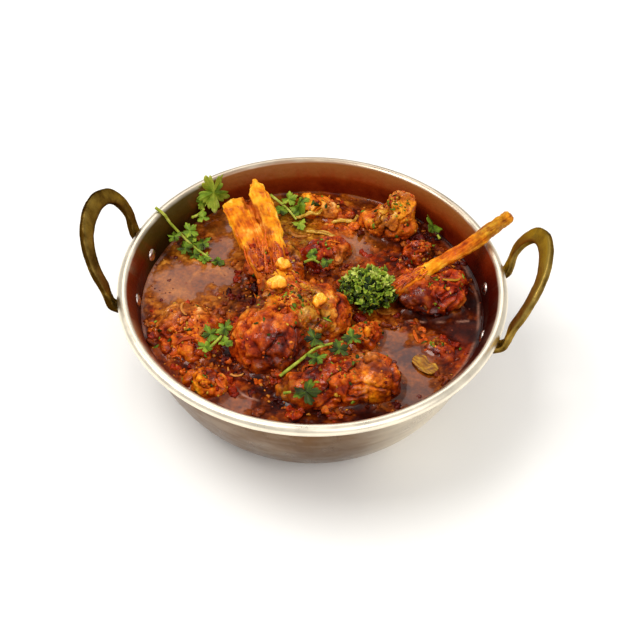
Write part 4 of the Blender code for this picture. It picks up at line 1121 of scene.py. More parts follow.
@dataclass
class Bones:
    """The split end of the shank bone and the thin rib."""

    # centre, half-width and half-thickness along the plate, the pointed ridge and the gristle between
    shank: tuple = (
        (
            (-38, 39.6, 52.2, 5.2, 1.4), (-35.6, 36, 51.5, 5.8, 2), (-32.7, 31.8, 50.4, 6.1, 2.4),
            (-27.9, 23.6, 48.4, 6.1, 2.7), (-22.5, 14.5, 46, 5.4, 2.8), (-18.5, 6.5, 43.5, 4.4, 2.6),
        ),
        (
            (-30.6, 50.6, 55.6, 0.9, 0.7), (-29, 45, 54.6, 3.6, 1.7), (-26, 38.5, 53.2, 4.4, 2.5),
            (-21.9, 30, 51.3, 4.2, 2.9), (-18.2, 22, 49.4, 3.7, 3), (-15.5, 13.5, 47.3, 3.5, 3),
            (-13.5, 6.5, 45, 3.2, 2.8),
        ),
        (
            (-32, 41.4, 52.4, 1.6, 0.8), (-30.2, 36.7, 52.1, 2.4, 1.2), (-27.5, 31, 51.2, 2.8, 1.6),
            (-24.5, 25, 50.2, 3, 1.6), (-20.5, 16.5, 48.2, 3, 1.8),
        ),
    )
    # way points of the groove where they meet, pressed in and darkened with painted shade
    groove: tuple = ((-34, 43, 53), (-31, 39, 53), (-27.3, 33.5, 53), (-24, 28.5, 52), (-21.3, 23.8, 51))
    rib: tuple = (  # stations of the rib
        (31.9, 4.9, 45, 2.9, 2.3), (35.5, 7.3, 47, 3.2, 2.6), (42.8, 13.7, 49, 2.9, 2.4),
        (52, 20.5, 51.5, 2.6, 2.2), (61.3, 27, 54.9, 3, 2.5), (67.9, 33.9, 57.2, 2.8, 2.3),
        (73.5, 39.1, 59.2, 2.5, 2.1),
    )
    shank_stains: tuple = (  # patches of sauce on the shank bone, as in Chunk
        (-25, 15.5, 49, 5, R, 0.05), (-19.5, 14, 49.5, 5, O, -0.02), (-14, 14, 49.5, 4, O, 0.05),
        (-15, 8, 47, 6.5, O, -0.05), (-21, 7, 46, 6.5, R, -0.02),
    )
    rib_stains: tuple = (  # the same on the rib
        (33, 5.5, 47, 5, O, 0), (55, 22, 54, 6, O, 0.15), (68, 34, 58, 9, V, 0),
        (74.8, 40, 59.6, 2.6, R, -0.1),
    )

    def build(self) -> None:
        """Make both bones."""
        material = COOKED_BONE.material()
        # Painted shade: dark red along the groove where the two parts meet
        groove = ((*place, 1.7, R, -0.12) for place in smooth_path(self.groove, 1.6))
        stains = ((-28, 25, 51, 5, O, 0.1), *groove, *self.shank_stains)
        shank = [self.bone(stations, 0.45, stains, 0.06) for stations in self.shank]
        rib = self.bone(self.rib, 0.3, self.rib_stains, -0.02)
        build_piece("split_shank_bone", shank, material, "bone", "shank_bone")
        build_piece("bare_rib_bone", [rib], material, "bone", "rib_bone")
        self.points = np.vstack([shell.points() for shell in (*shank, rib)])

    def bone(self, stations: tuple, relief: float, stains: tuple, lift: float) -> Shell:
        """Squared amber bar through the stations, its grooves darkened by painted shade, with chips at its
        end.

        Args:
            stations: Centre, half-width and half-thickness at each station.
            relief: Height of the roughness.
            stains: Patches of sauce on it, as in Chunk.
            lift: Added to its tone.

        Returns:
            The bone.
        """
        path = smooth_path(stations, 0.4)
        width = path[:, 3] * (1 + 0.09 * fractal(path[:, :3] + 5, 4, 2))
        shell = sweep(path[:, :3], level_frame(path[:, :3]), width, path[:, 4], 84, 2.2)
        points = shell.points()
        way = unit(path[-1, :3] - path[0, :3])
        squeezed = points - np.outer(points @ way, way) * 0.85
        grooves = fractal(squeezed, 1.9, 4, 0.7)
        knobs = fractal(points, 5, 2)
        tip = path[-1, :3] if stations is self.rib else path[0, :3]
        near_end = np.exp(-np.linalg.norm(points - tip, axis=1) / 3.5)
        chips = near_end * (1.1 * noise(points, 2.4) + 0.5 * noise(points, 1.1))
        hole, _ = grains(squeezed + 0.3 * grooves[:, None], 1.25)
        pores = ramp(0.3, 0.12, hole) * ramp(0, 0.4, knobs + near_end)
        split = smooth_path(self.groove, 0.8)
        gap = np.min(np.linalg.norm(points[:, None] - split[None], axis=2), axis=1)
        rough = relief * (0.75 * grooves + 0.9 * knobs) + chips - 0.35 * pores
        shell.push(rough - 0.7 * np.exp(-((gap / 1.3) ** 2)))
        points = shell.points()
        edge = np.tile(0.1 * (1 - np.abs(np.sin(once_round(84)))) ** 2, len(shell.rows))
        # Painted shade: the tone follows the grooves, darker in their low places
        tone = 0.46 + lift + np.concatenate([[0], edge, [0]]) + 0.17 * (grooves - 1.3 * pores)
        shell.coat = paint(points, tone + 0.22 * fractal(points, 4.5, 3), A, stains)
        shell.extra = {"oil": ramp(-0.1, 0.5, noise(points, 5))}
        return shell


@dataclass
class GarlicBits:
    """Pale soft bits that sit in the meat."""

    bits: tuple = (  # for each, its name, and its centre and half-axes
        ("garlic_right", (4.4, -13.6, 54.2, 2.7, 3.5, 2.2)),
        ("garlic_middle", (-12.7, -8.9, 56.3, 3.6, 3.4, 2.2)),
        ("garlic_back", (-11.8, 3, 54.6, 2.6, 2.6, 2)),
    )

    def build(self) -> None:
        """Make each bit: a ball with soft dents, stained at its edges."""
        material = SOFT_GARLIC.material()
        for name, lobe in self.bits:
            shell = blended_ball((lobe,), 40, 64)
            points = shell.points()
            dents = fractal(points * (1, 0.45, 1), 1.9, 3)
            shell.push(0.42 * dents)
            high = ramp(lobe[2] - 0.6, lobe[2] + lobe[5], points[:, 2])
            shell.coat = paint(points, 0.1 + 0.68 * high + 0.24 * dents, A, ())
            shell.extra = {"oil": 0.6 * high}
            build_piece("soft_" + name, [shell], material, "garlic", name)


# -------- the lie of the food


@dataclass
class Terrain:
    """How high the food stands, on a square grid."""

    step: float = 0.5  # grid spacing
    half: float = 80.0  # half the grid's side

    def __post_init__(self) -> None:
        """Start with nothing."""
        count = int(2 * self.half / self.step) + 1
        self.heights = np.zeros((count, count))

    def cells(self, x: Array, y: Array) -> tuple[Array, Array]:
        """Grid places as fractions of a cell."""
        limit = len(self.heights) - 1.001
        return np.clip((x + self.half) / self.step, 0, limit), np.clip((y + self.half) / self.step, 0, limit)

    def add(self, points: Array) -> None:
        """Raise each cell to the highest of the points in it and beside it.

        Args:
            points: The points.
        """
        u, v = self.cells(points[:, 0], points[:, 1])
        for du, dv in ((0, 0), (1, 0), (0, 1), (1, 1)):
            np.maximum.at(self.heights, (u.astype(int) + du, v.astype(int) + dv), points[:, 2])

    def at(self, x: Array, y: Array) -> Array:
        """Height at each place, mixed from the four grid points round it.

        Args:
            x: Places along X.
            y: Places along Y.

        Returns:
            A height for each.
        """
        u, v = self.cells(x, y)
        i, j = u.astype(int), v.astype(int)
        a, b, h = u - i, v - j, self.heights
        low = h[i, j] * (1 - a) + h[i + 1, j] * a
        high = h[i, j + 1] * (1 - a) + h[i + 1, j + 1] * a
        return low * (1 - b) + high * b

    def here(self, x: float, y: float) -> float:
        """Height at one place."""
        return self.at(np.array([x]), np.array([y]))[0]

    def highest(self, x: Array, y: Array, reach: float) -> Array:
        """Highest food within reach of each place.

        Args:
            x: Places along X.
            y: Places along Y.
            reach: How far to look.

        Returns:
            A height for each.
        """
        best = self.at(x, y)
        for distance in (0.5 * reach, reach):
            for turn in once_round(8):
                best = np.maximum(best, self.at(x + distance * cos(turn), y + distance * sin(turn)))
        return best

    def nearness(self, level: float, reach: float) -> Terrain:
        """How near anything stands that is higher than level, from 0 to 1: a mask blurred by box sums.

        Args:
            level: Height that counts.
            reach: Blur radius.

        Returns:
            A terrain whose heights are the nearness.
        """
        mask = (self.heights > level).astype(float)
        width = max(1, round(reach / self.step))
        for axis in (0, 1) * 3:
            mask = sum(np.roll(mask, shift, axis) for shift in range(-width, width + 1)) / (2 * width + 1)
        result = Terrain(self.step, self.half)
        result.heights = mask
        return result


def keep_in(points: Array, clearance: float) -> Array:
    """Push points off the rim's bead, and pull them inside the wall below it.

    Args:
        points: The places.
        clearance: Room that each keeps.

    Returns:
        The moved points.
    """
    radius = np.maximum(np.hypot(points[:, 0], points[:, 1]), 1e-6)
    height = points[:, 2]
    off = np.column_stack([radius - BEAD_CENTRE[0], height - BEAD_CENTRE[1]])
    away = unit(off) * np.maximum(np.linalg.norm(off, axis=1, keepdims=True), BEAD_RADIUS + clearance)
    over = height > BEAD_CENTRE[1] + BEAD_RADIUS * sin(radians(BEAD_START))
    inside = np.minimum(radius, cavity_radius(height) - 1.25 * clearance)
    new_radius = np.where(over, BEAD_CENTRE[0] + away[:, 0], inside)
    new_height = np.where(over, BEAD_CENTRE[1] + away[:, 1], height)
    return np.column_stack([points[:, :2] * (new_radius / radius)[:, None], new_height])


# -------- gravy


@dataclass
class Gravy:
    """The gravy, with its skin of oil and the masala that gathers round the meat."""

    rings: int = 150  # points from the middle to the wall
    columns: int = 540  # points round
    creep: float = 0.8  # how far it creeps up the wall and the meat
    swell: float = 0.22  # height of its slow waves
    pools: tuple = (  # where clear oil lies on it: x, y, radius, palette and change of tone
        (-52, 4, 12.5, T, 0.02), (-40, 10, 8, T, 0), (-41, 25, 8, T, -0.02), (-44, 40, 7, T, -0.06),
        # The dark pools at (49, -1) and (40, 3) are painted shade in front of the rib meat
        (40, -27, 12, T, -0.16), (42, -40, 9, T, -0.14), (33, -14, 6, T, -0.14), (49, -1, 7, D, -0.16),
        (40, 3, 6, D, -0.2), (60, -6, 8, D, -0.12), (63, 10, 6, D, -0.12), (12, 35, 8, T, 0.1),
        (-22, -55, 6, T, -0.24), (-21, 63, 5, T, -0.2), (11, 66, 5, T, -0.2), (28, -56, 6, D, -0.1),
        (25, 42, 6, D, -0.1),
    )
    thickets: tuple = (  # the same where the masala is thick
        # The first two are painted shade in the hollow under the bone
        (-26, 3, 8.5, D, -0.1), (-29, 13, 5.5, R, -0.2), (-17, 52, 9, V, 0), (-10, 37, 8, V, 0),
        (-15, 32, 6, O, 0.1), (6, 46, 7, O, 0), (20, 30, 8, R, -0.1), (45, 45, 9, D, 0), (56, 30, 9, D, -0.1),
        (-60, 22, 7, V, -0.15), (-58, 33, 7, D, -0.1), (-24, -38, 6, D, -0.1), (-26, -46, 5, R, -0.1),
        (-10, -52, 7, D, -0.1), (8, -60, 6, D, -0.15), (40, -45, 5, D, -0.1), (57, -19, 8, R, -0.06),
        (30, 10, 6, D, -0.15),
    )
    highlight_colour: str = "b07c66"  # painted highlight: the thin bright line beside the wall and at the oil's edges
    edges: tuple = (  # way points of two painted highlights at edges of oil, in front of the rib and at the front left
        ((37.5, -4.6), (40, -3.6), (43.5, -3.7), (47, -3.4), (52.5, -2.6), (57.5, -1.6), (61.5, -0.6)),
        ((-25.5, -41), (-24, -45.5), (-21, -49.1), (-17.7, -51.1), (-13.5, -52.4)),
    )

    def build(self, terrain: Terrain) -> None:
        """Shape the top, close it below along the wall, and paint it.

        Args:
            terrain: Heights of the meat. The gravy is added to it.
        """
        edge = cavity_radius(np.array([LEVEL + self.creep]))[0] - 0.05
        radius = edge * np.linspace(0, 1, self.rings + 1)[1:] ** 0.85
        wall = side_profile(STEEL + 0.05, 60)
        wall = wall[wall[:, 1] < LEVEL - 0.5][::-8]
        profile = np.vstack([np.column_stack([radius, np.full(self.rings, LEVEL)]), wall])
        shell = Shell(turn_profile(profile, self.columns), LEVEL * UP, (STEEL + 0.05) * UP)
        points = shell.points()
        on_top = points[:, 2] > LEVEL - 0.4
        rise, tone, oil = self.surface(points, terrain, edge)
        points[:, 2] += np.where(on_top, rise, 0)
        shell.place(points)
        shell.coat = self.coat(points, tone, edge)
        shell.extra = {"oil": oil}
        build_piece("gravy_pool", [shell], OILY_GRAVY.material(), "gravy", "gravy")
        terrain.add(points[on_top])

    def coat(self, points: Array, tone: Array, edge: float) -> Array:
        """Colours: the patches, a band of painted shade along the right wall, and thin painted highlights
        beside the wall and at the oil's edges.

        Args:
            points: Places on the gravy.
            tone: How light each is.
            edge: Radius of the gravy at the wall.

        Returns:
            Linear colours.
        """
        patches = ((x, y, LEVEL, *rest) for x, y, *rest in self.pools + self.thickets)
        coat = paint(points, tone, Palette.MASALA, patches)
        from_wall = edge - np.hypot(points[:, 0], points[:, 1])
        sides = ramp(0.3, 0.8, np.abs(points[:, 0]) / edge) * ramp(0.9, 0.2, points[:, 1] / edge)
        right = ramp(0.5, 0.8, points[:, 0] / edge)
        inset = 0.7 + (1.3 + 0.3 * noise(points, 6)) * right
        # Painted shade: a dark band along the right wall
        coat = tinted(coat, D.colours([0.1]), 0.8 * right * ramp(0.3, -0.5, from_wall - inset) * sides)
        # Painted highlights: a thin bright line just inside the wall, and along the oil's edges below
        line = 0.55 * sides * np.exp(-(((from_wall - inset) / 0.5) ** 2))
        line = line * ramp(-0.6, 0.3, noise(points, 9))
        broken = 0.8 * ramp(-0.5, 0.2, noise(points + 20, 6))
        for way in self.edges:
            path = smooth_path([(*point, LEVEL) for point in way], 0.6)
            gap = np.min(np.linalg.norm(points[:, None, :2] - path[None, :, :2], axis=2), axis=1)
            line = np.maximum(line, broken * np.exp(-((gap / 0.45) ** 2)))
        return tinted(coat, linear(self.highlight_colour)[:3], line)

    def surface(self, points: Array, terrain: Terrain, edge: float) -> tuple[Array, Array, Array]:
        """Rise above the level, tone and clear oil.

        The rise is slow noise, a film that creeps up whatever stands in the gravy, and, out of the pools of
        clear oil, clods of masala, 0.55 - distance round seed points.

        Args:
            points: Places on the level.
            terrain: Heights of the meat.
            edge: Radius of the gravy at the wall.

        Returns:
            Rise in millimetres, tone from 0 to 1 and share of oil from 0 to 1.
        """
        x, y = points[:, 0], points[:, 1]
        close, around = (terrain.nearness(LEVEL + 0.8, reach).at(x, y) for reach in (0.8, 3))
        from_wall = edge - np.hypot(x, y)
        slow = fractal(points, 13, 2)
        mottle = fractal(points + 50, 5, 3)
        smooth, sheen = np.zeros((2, len(points)))
        for pool_x, pool_y, radius, palette, _ in self.pools:
            share = ramp(1.25, 0.75, np.hypot(x - pool_x, y - pool_y) / radius + 0.3 * mottle)
            smooth = np.maximum(smooth, share)
            sheen = np.maximum(sheen, share * (0.85 if palette is T else 0.03))
        thick = (1 - smooth) * ramp(0.4, 3, from_wall + 1.5 * mottle)
        thick = np.maximum(thick, ramp(0.45, 0.75, around + 0.2 * slow))
        bend = np.column_stack([mottle, slow, np.zeros(len(points))])
        clod, clod_tone = grains(points + 1.5 * bend, 3.4)
        grain, grain_tone = grains(points + 0.6 * bend, 1.4)
        bits = thick * (0.95 * np.maximum(0.55 - clod, 0) + 0.32 * np.maximum(0.45 - grain, 0))
        rise = self.swell * slow + 0.9 * close + self.creep * np.exp(-from_wall / 1.1)
        # Painted light and shade: the tone is lighter on the clods' tops, besides their own random tones
        light = 0.42 * (0.5 - clod) + 0.12 * clod_tone + 0.1 * grain_tone + 0.1 * (0.45 - grain)
        marbled = fractal(points + 4 * bend, 4, 3) + 0.6 * slow
        tone = 0.3 + 0.06 * slow + thick * (0.08 + (light + 0.14 * mottle)) + 0.13 * (1 - thick) * marbled
        wet = ramp(0.15, 0.6, close) * ramp(1, 0.8, close) + np.exp(-((from_wall / 1.4) ** 2))
        oil = np.clip(0.04 + sheen * (1 - thick) + 0.6 * wet, 0, 1)
        return rise + 1.7 * bits + 0.2 * thick, tone, oil


# -------- cilantro


@dataclass(frozen=True)
class Leaf:
    """One leaflet on a stem."""

    place: float  # share of the stem where it grows
    heading: float  # compass direction in degrees from +X
    rise: float  # degrees up from level
    roll: float  # degrees that it leans over sideways
    length: float  # millimetres from stalk to tip
    lobes: int  # number of lobes


@dataclass
class LeafMaker:
    """Makes thin lobed leaves."""

    thickness: float = 0.34  # of a leaf
    wave: float = 0.075  # height of its waves for each millimetre of length
    rings: int = 9  # points from its middle to its edge
    columns: int = 120  # points round its edge
    tip: float = 0.08  # how much lighter its edge is than its middle
    teeth: float = 0.26  # depth of its teeth for each unit of its radius

    def leaf(self, base: Array, leaf: Leaf, phase: float, terrain: Terrain | None, lift: float) -> Shell:
        """One leaf: a lobed outline filled by rings, both faces, its veins raised and its edge ruffled.

        The outline's radius is 0.5 length (0.3 + 0.7 (1 - |2 t|^2.6)), where t runs from -0.5 to 0.5 over
        each lobe, with three teeth on a lobe, |cos(3 pi t)|. The height is a slow wave round the edge, with
        grooves between lobes and a ridge on each lobe's axis.

        Args:
            base: Where the stalk ends.
            leaf: Direction and size.
            phase: Shifts the waves.
            terrain: What it lies on, or None if it stands free.
            lift: Added to its tone.

        Returns:
            The leaf.
        """
        turn, rise, roll = (radians(a) for a in (leaf.heading, leaf.rise, leaf.roll))
        forward = np.array([cos(turn) * cos(rise), sin(turn) * cos(rise), sin(rise)])
        level = np.array([-sin(turn), cos(turn), 0])
        upright = np.cross(forward, level)
        across = level * cos(roll) + upright * sin(roll)
        normal = upright * cos(roll) - level * sin(roll)
        angle = once_round(self.columns)
        lobe_phase = leaf.lobes * (angle - pi)
        within = (lobe_phase / tau) % 1 - 0.5
        broad = 1 - np.abs(2 * within) ** 2.6
        broad = broad * (0.94 + 0.16 * np.sin(2.1 * np.floor(lobe_phase / tau) + phase))
        teeth = self.teeth * broad * (np.abs(np.cos(3 * pi * within)) ** 0.8 - 0.6)
        share = np.linspace(0, 1, self.rings + 1)[1:, None]
        reach = share * (0.5 * leaf.length * (0.3 + 0.7 * broad + teeth))
        gather = np.exp(-(((angle - pi) / 0.1) ** 2)) * share**2
        x = (0.5 * leaf.length + reach * np.cos(angle)) * (1 - gather) + 0.1 * gather
        y = 0.95 * reach * np.sin(angle) * (1 - gather)
        ridge = np.exp(-((np.sin(0.5 * (lobe_phase - pi)) / 0.16) ** 2))
        size = self.wave * leaf.length
        z = size * share**1.5 * np.sin(2 * angle + phase)
        z = z + 0.45 * size * share**2 * np.sin(5 * angle + 2 * phase) + 0.22 * size * ridge * share
        z = z - 0.5 * size * share * (1 - ridge) * (0.5 + 0.5 * np.cos(lobe_phase))
        middle = np.vstack([[0.5 * leaf.length, 0, 0.15 * size], np.stack([x, y, z], 2).reshape(-1, 3)])
        placed = base + middle[:, :1] * forward + middle[:, 1:2] * across + middle[:, 2:] * normal
        placed = keep_in(placed, 0.5 * self.thickness + 0.2)
        if terrain is not None:
            floor = terrain.highest(placed[:, 0], placed[:, 1], 0.4) + 0.5 * self.thickness + 0.15
            placed[:, 2] = np.maximum(placed[:, 2], floor)
        half = normal * self.thickness * 0.5
        thin = np.linspace(1, 0.35, self.rings)[:, None, None]
        grid = placed[1:].reshape(self.rings, self.columns, 3)
        rows = np.concatenate([grid + half * thin, (grid - half * thin)[::-1]])
        shell = Shell(rows, placed[0] + half, placed[0] - half)
        vein = (ridge * (1 - 0.4 * share)).ravel()
        tone = 0.42 + lift + 0.14 * np.concatenate([[0.6], vein]) + 0.14 * fractal(placed, 3, 2)
        tone[1:] += 0.1 * np.sin(2 * np.tile(angle, self.rings) + phase)
        tone[1:] += self.tip * np.repeat(share.ravel(), self.columns)
        below = Palette.HERB.colours(tone + 0.06)
        under = below[1:].reshape(grid.shape)[::-1].reshape(-1, 3)
        shell.coat = np.vstack([Palette.HERB.colours(tone), under, below[:1]])
        return shell


# For each sprig, the way points of its stem, its leaves as the numbers of Leaf, and its change of tone
SPRIGS: dict[str, tuple] = {
    "cilantro_leaf_rim": (
        ((-54.8, 35.8, 45), (-53.1, 38.7, 44), (-51, 42, 44.5)),
        ((1, 67, 29, 64, 16.5, 5), (0.75, 89, 32, 64, 8, 5), (0.4, -13, 0, 15, 6, 3)),
        0.06,
    ),
    "cilantro_sprig_left": (
        ((-68.4, 30.2, 53.4), (-60.5, 27.4, 46), (-52.5, 24, 40), (-44, 18.6, 38.8)),
        (
            (0.5, 50, 12, 10, 7.5, 5), (0.6, -100, 0, 0, 7.5, 5), (0.42, -110, -8, 0, 6, 5),
            (0.64, 80, 10, 0, 5.5, 3), (0.78, -120, -5, 0, 5.5, 5), (0.72, 45, 8, 0, 7.5, 5),
            (0.85, -70, 0, 0, 6.2, 5), (1, -20, 0, 0, 5.8, 3),
        ),
        -0.1,
    ),
    "cilantro_left": (
        ((-34.5, -34, 44), (-32.5, -31.5, 45), (-31, -29, 45.5)),
        ((0.2, 215, 10, 0, 6.5, 5), (0.5, 130, 20, 0, 7.5, 5), (1, 75, 20, 0, 7, 5), (0.7, -20, 5, 0, 6, 3)),
        -0.08,
    ),
    "cilantro_sprig_front": (
        ((-5.6, -49.6, 50), (0.6, -43.6, 52.5), (6.4, -36.6, 53), (15, -29.5, 50)),
        ((0.5, -50, 5, 0, 7.5, 5), (0.62, 120, 15, 0, 8, 5), (0.8, -35, 5, 0, 8.5, 5), (1, 35, 5, 0, 8, 5)),
        -0.26,
    ),
    "cilantro_sprig_back": (
        ((-25.5, 59, 41), (-18, 52.5, 40.5), (-13, 46.5, 40)),
        ((0.3, 20, 15, 0, 8, 5), (0.55, -130, 10, 0, 7, 3), (0.75, 25, 10, 0, 8, 5), (1, -60, 5, 0, 7, 3)),
        -0.02,
    ),
    "cilantro_middle": (
        ((-5.5, 17, 44), (-2.5, 18, 45), (0.5, 16.5, 45)),
        ((0.3, 70, 15, 0, 5.5, 3), (1, 10, 10, 0, 6, 3)),
        -0.16,
    ),
    "leaf_front": (((-3.5, -55, 47), (-1, -54.5, 47.5)), ((1, 8, 0, 0, 11, 5),), -0.38),
    "leaf_right_back": (((47.5, 41, 42), (46.5, 42.5, 42.5)), ((1, 125, 25, 30, 9, 3),), -0.25),
}


@dataclass
class Cilantro:
    """Sprigs, leaves and the curly heap."""

    stem_radius: float = 0.62  # of the stems
    standing_roll: float = 30.0  # degrees of roll past which a leaf leans on the wall
    heap_centre: tuple[float, float, float] = (21.8, 5.0, 42.5)  # middle of the heap
    heap_axes: tuple[float, float, float] = (8.5, 8.0, 7.5)  # its half-axes
    heap_leaves: int = 150  # number of its leaflets
    seed: int = 5  # starts the draws
    maker: LeafMaker = field(default_factory=LeafMaker)  # makes the leaves of the sprigs
    # makes the leaves of the heap
    curler: LeafMaker = field(default_factory=partial(LeafMaker, 0.3, 0.17, 4, 30, 0.34))

    def build(self, terrain: Terrain) -> None:
        """Make every sprig and the heap.

        Args:
            terrain: Heights of the food under them.
        """
        material = FRESH_CILANTRO.material()
        for name, (way, leaves, lift) in SPRIGS.items():
            shells = self.sprig(np.array(way), [Leaf(*leaf) for leaf in leaves], terrain, lift)
            build_piece("fresh_" + name, shells, material, "cilantro", name)
        build_piece("curly_heap", self.heap(), material, "cilantro", "cilantro_tuft")

    def sprig(self, way: Array, leaves: list[Leaf], terrain: Terrain, lift: float) -> list[Shell]:
        """A stem that lies on the food, with its leaves.

        Args:
            way: Way points of the stem.
            leaves: Its leaves.
            terrain: What it lies on.
            lift: Added to the leaves' tone.

        Returns:
            The stem and the leaves.
        """
        path = keep_in(smooth_path(way, 0.7), self.stem_radius + 0.2)
        floor = terrain.highest(path[:, 0], path[:, 1], 0.6) + self.stem_radius + 0.1
        lifted = np.maximum(path[:, 2], floor)
        for _ in range(3):
            lifted[1:-1] = (lifted[:-2] + 2 * lifted[1:-1] + lifted[2:]) / 4
        path[:, 2] = np.maximum(lifted, floor - 0.25)
        taper = np.linspace(1, 0.75, len(path)) * self.stem_radius
        stem = sweep(path, level_frame(path), taper, taper, 12, 2)
        points = stem.points()
        stem.push(0.06 * noise(points, 1.5))
        stem.coat = Palette.STEM.colours(0.5 + 0.25 * fractal(points, 3, 2) + 0.5 * lift)
        shells = [stem]
        for number, leaf in enumerate(leaves):
            base = path[round(leaf.place * (len(path) - 1))]
            lying = terrain if abs(leaf.roll) < self.standing_roll else None
            bright = lift + 0.09 * cos(2.2 * number)
            shells.append(self.maker.leaf(base, leaf, 1.7 * number, lying, bright))
        return shells

    def heap(self) -> list[Shell]:
        """The curly heap: small ruffled leaves spread by the golden angle over a dark dome of painted shade.

        Returns:
            The dome and its leaves.
        """
        rng = np.random.default_rng(self.seed)
        centre, axes = np.array(self.heap_centre), np.array(self.heap_axes)
        core = blended_ball(((*centre, *(axes - 0.8)),), 40, 60)
        points = core.points()
        core.push(0.8 * fractal(points, 2.4, 2))
        # Painted shade: the dome is dark green, the shade between the leaves
        core.coat = Palette.SHADE_GREEN.colours(0.42 + 0.3 * fractal(points, 1.6, 2))
        shells = [core]
        for number in range(self.heap_leaves):
            share = (number + 0.5) / self.heap_leaves
            spread, turn = 9.9 * sqrt(share), GOLDEN_ANGLE * number
            x, y = centre[0] + spread * cos(turn), centre[1] + 0.95 * spread * sin(turn)
            dome = sqrt(max(0.04, 1 - (spread / 10.2) ** 2))
            z = centre[2] + axes[2] * dome - 0.8 + rng.uniform(-1, 0.6) - 2.5 * max(0, share - 0.75)
            rise = 40 - 5 * spread + rng.uniform(-26, 34)
            heading, roll = degrees(turn) + rng.uniform(-80, 80), rng.uniform(-50, 50)
            leaf = Leaf(0, heading, rise, roll, rng.uniform(2.6, 4.6), int(rng.choice([3, 5])))
            # Painted light and shade: lighter at the heap's top-centre and back, darker at its front and outer
            # edge, with a random tone
            bright = rng.uniform(-0.5, 0.14) + 0.14 * (0.5 - share) + 0.012 * (y - centre[1])
            shells.append(self.curler.leaf(np.array([x, y, z]), leaf, 1.1 * number, None, bright))
        return shells


# -------- slivers and scattered bits


@dataclass
class Slivers:
    """Slivers of ginger and onion on the food."""

    slivers: tuple = (  # for each, its name, way points, width, thickness and tone
        ("ginger_back", ((-15, 49.5), (-9, 48.2), (-2.5, 49)), 1.9, 1.1, 0.75),
        ("ginger_middle", ((-7.5, 40), (-1.3, 40.6), (5.5, 38.2)), 1.8, 1.1, 0.7),
        ("ginger_right", ((2, 47.2), (6.9, 49.6), (12.5, 48.6)), 1.8, 1.1, 0.75),
        ("onion_right", ((43, -22), (46, -27), (51, -29)), 6, 0.9, 0.45),
    )

    def build(self, terrain: Terrain) -> None:
        """Make each sliver: a flat tapered strip draped over the food, the broad one cupped and sunk.

        Args:
            terrain: Heights of the food.
        """
        material = COOKED_SLIVER.material()
        for name, way, width, thickness, tone in self.slivers:
            broad = width > 3
            path = smooth_path([(*point, LEVEL) for point in way], 0.35)
            floor = terrain.highest(path[:, 0], path[:, 1], 0.7) + 0.5 * thickness + 0.05 - 0.35 * broad
            path[:, 2] = np.maximum(path[:, 2], floor)
            for _ in range(8):
                path[1:-1, 2] = (path[:-2, 2] + 2 * path[1:-1, 2] + path[2:, 2]) / 4
            frame = level_frame(path)
            taper = np.clip(np.sin(np.linspace(0.1, 0.9, len(path)) * pi) * 1.5, 0.35, 1)
            shell = sweep(path, frame, taper * width / 2, np.full(len(path), thickness / 2), 28, 3.0)
            points = shell.points()
            ripple = fractal(points, 2.2, 2)
            aside = (points - path.mean(axis=0)) @ frame[0][len(path) // 2]
            shell.push(0.12 * ripple)
            shell.place(shell.points() + (0.06 * np.minimum(aside**2, 9) * broad)[:, None] * UP)
            along = unit(path[-1] - path[0])
            fibre = noise(points - np.outer(points @ along, along) * 0.9, 1.1)
            layers = np.sin(aside * tau / 1.3 + 1.5 * ripple)
            shell.coat = V.colours(tone + 0.1 * ripple + 0.16 * fibre + 0.14 * layers)
            shell.extra = {"oil": np.full(len(points), 0.4)}
            build_piece("cooked_" + name, [shell], material, "ginger", name)


@dataclass
class Shreds:
    """Strands of meat that cling to the bones where they leave the meat."""

    seed: int = 33  # starts the draws
    # for each, the two ends of its middle line, its half-width, and how many strands lie on it
    beds: tuple = (
        ((-24.5, 18), (-17, 2), 6, 34),
        ((-16.5, 17), (-12, 4), 4, 20),
        ((31, 4), (41, 11.5), 2.6, 16),
        ((-18, -1), (-4, -8), 7, 14),
    )

    def build(self, terrain: Terrain) -> None:
        """Lay every strand along its bed, from end to end with a random start and bend.

        Args:
            terrain: Heights of the food.
        """
        rng = np.random.default_rng(self.seed)
        shells = []
        steps = np.linspace(-0.5, 0.5, 22)[:, None]
        for start, end, half, count in self.beds:
            start, end = np.array(start), np.array(end)
            way = unit(end - start)
            aside = np.array([-way[1], way[0]])
            for _ in range(count):
                place = start + (end - start) * rng.random() + aside * rng.uniform(-half, half)
                length, bend = rng.uniform(4, 10), rng.uniform(-0.8, 0.8)
                bow = bend * 4 * steps**2 + 0.14 * length * rng.normal() * steps
                middle = place + way * length * steps + aside * bow
                radius = rng.uniform(0.18, 0.36)
                height = terrain.at(middle[:, 0], middle[:, 1])
                if np.ptp(height) > 5:
                    continue
                for _ in range(3):
                    height[1:-1] = np.maximum(height[1:-1], (height[:-2] + height[2:]) / 2)
                path = np.column_stack([middle, height - 0.05 * radius])
                width = radius * np.sin(np.linspace(0.12, 0.88, len(path)) * pi)
                shell = sweep(path, level_frame(path), 1.9 * width, 0.7 * width, 10, 2.2)
                points = shell.points()
                shell.push(0.12 * noise(points, 1.1))
                shell.coat = O.colours(rng.uniform(0.3, 0.62) + 0.15 * noise(points, 1.5))
                shell.extra = {"oil": np.full(len(points), rng.uniform(0.0, 0.8))}
                shells.append(shell)
        build_piece("clinging_shreds", shells, BRAISED_MEAT.material(), "meat")


def in_disc(radius: float, rng: Draws) -> tuple[float, float]:
    """A random place in a disc round the Z axis."""
    reach, turn = radius * sqrt(rng.random()), tau * rng.random()
    return reach * cos(turn), reach * sin(turn)


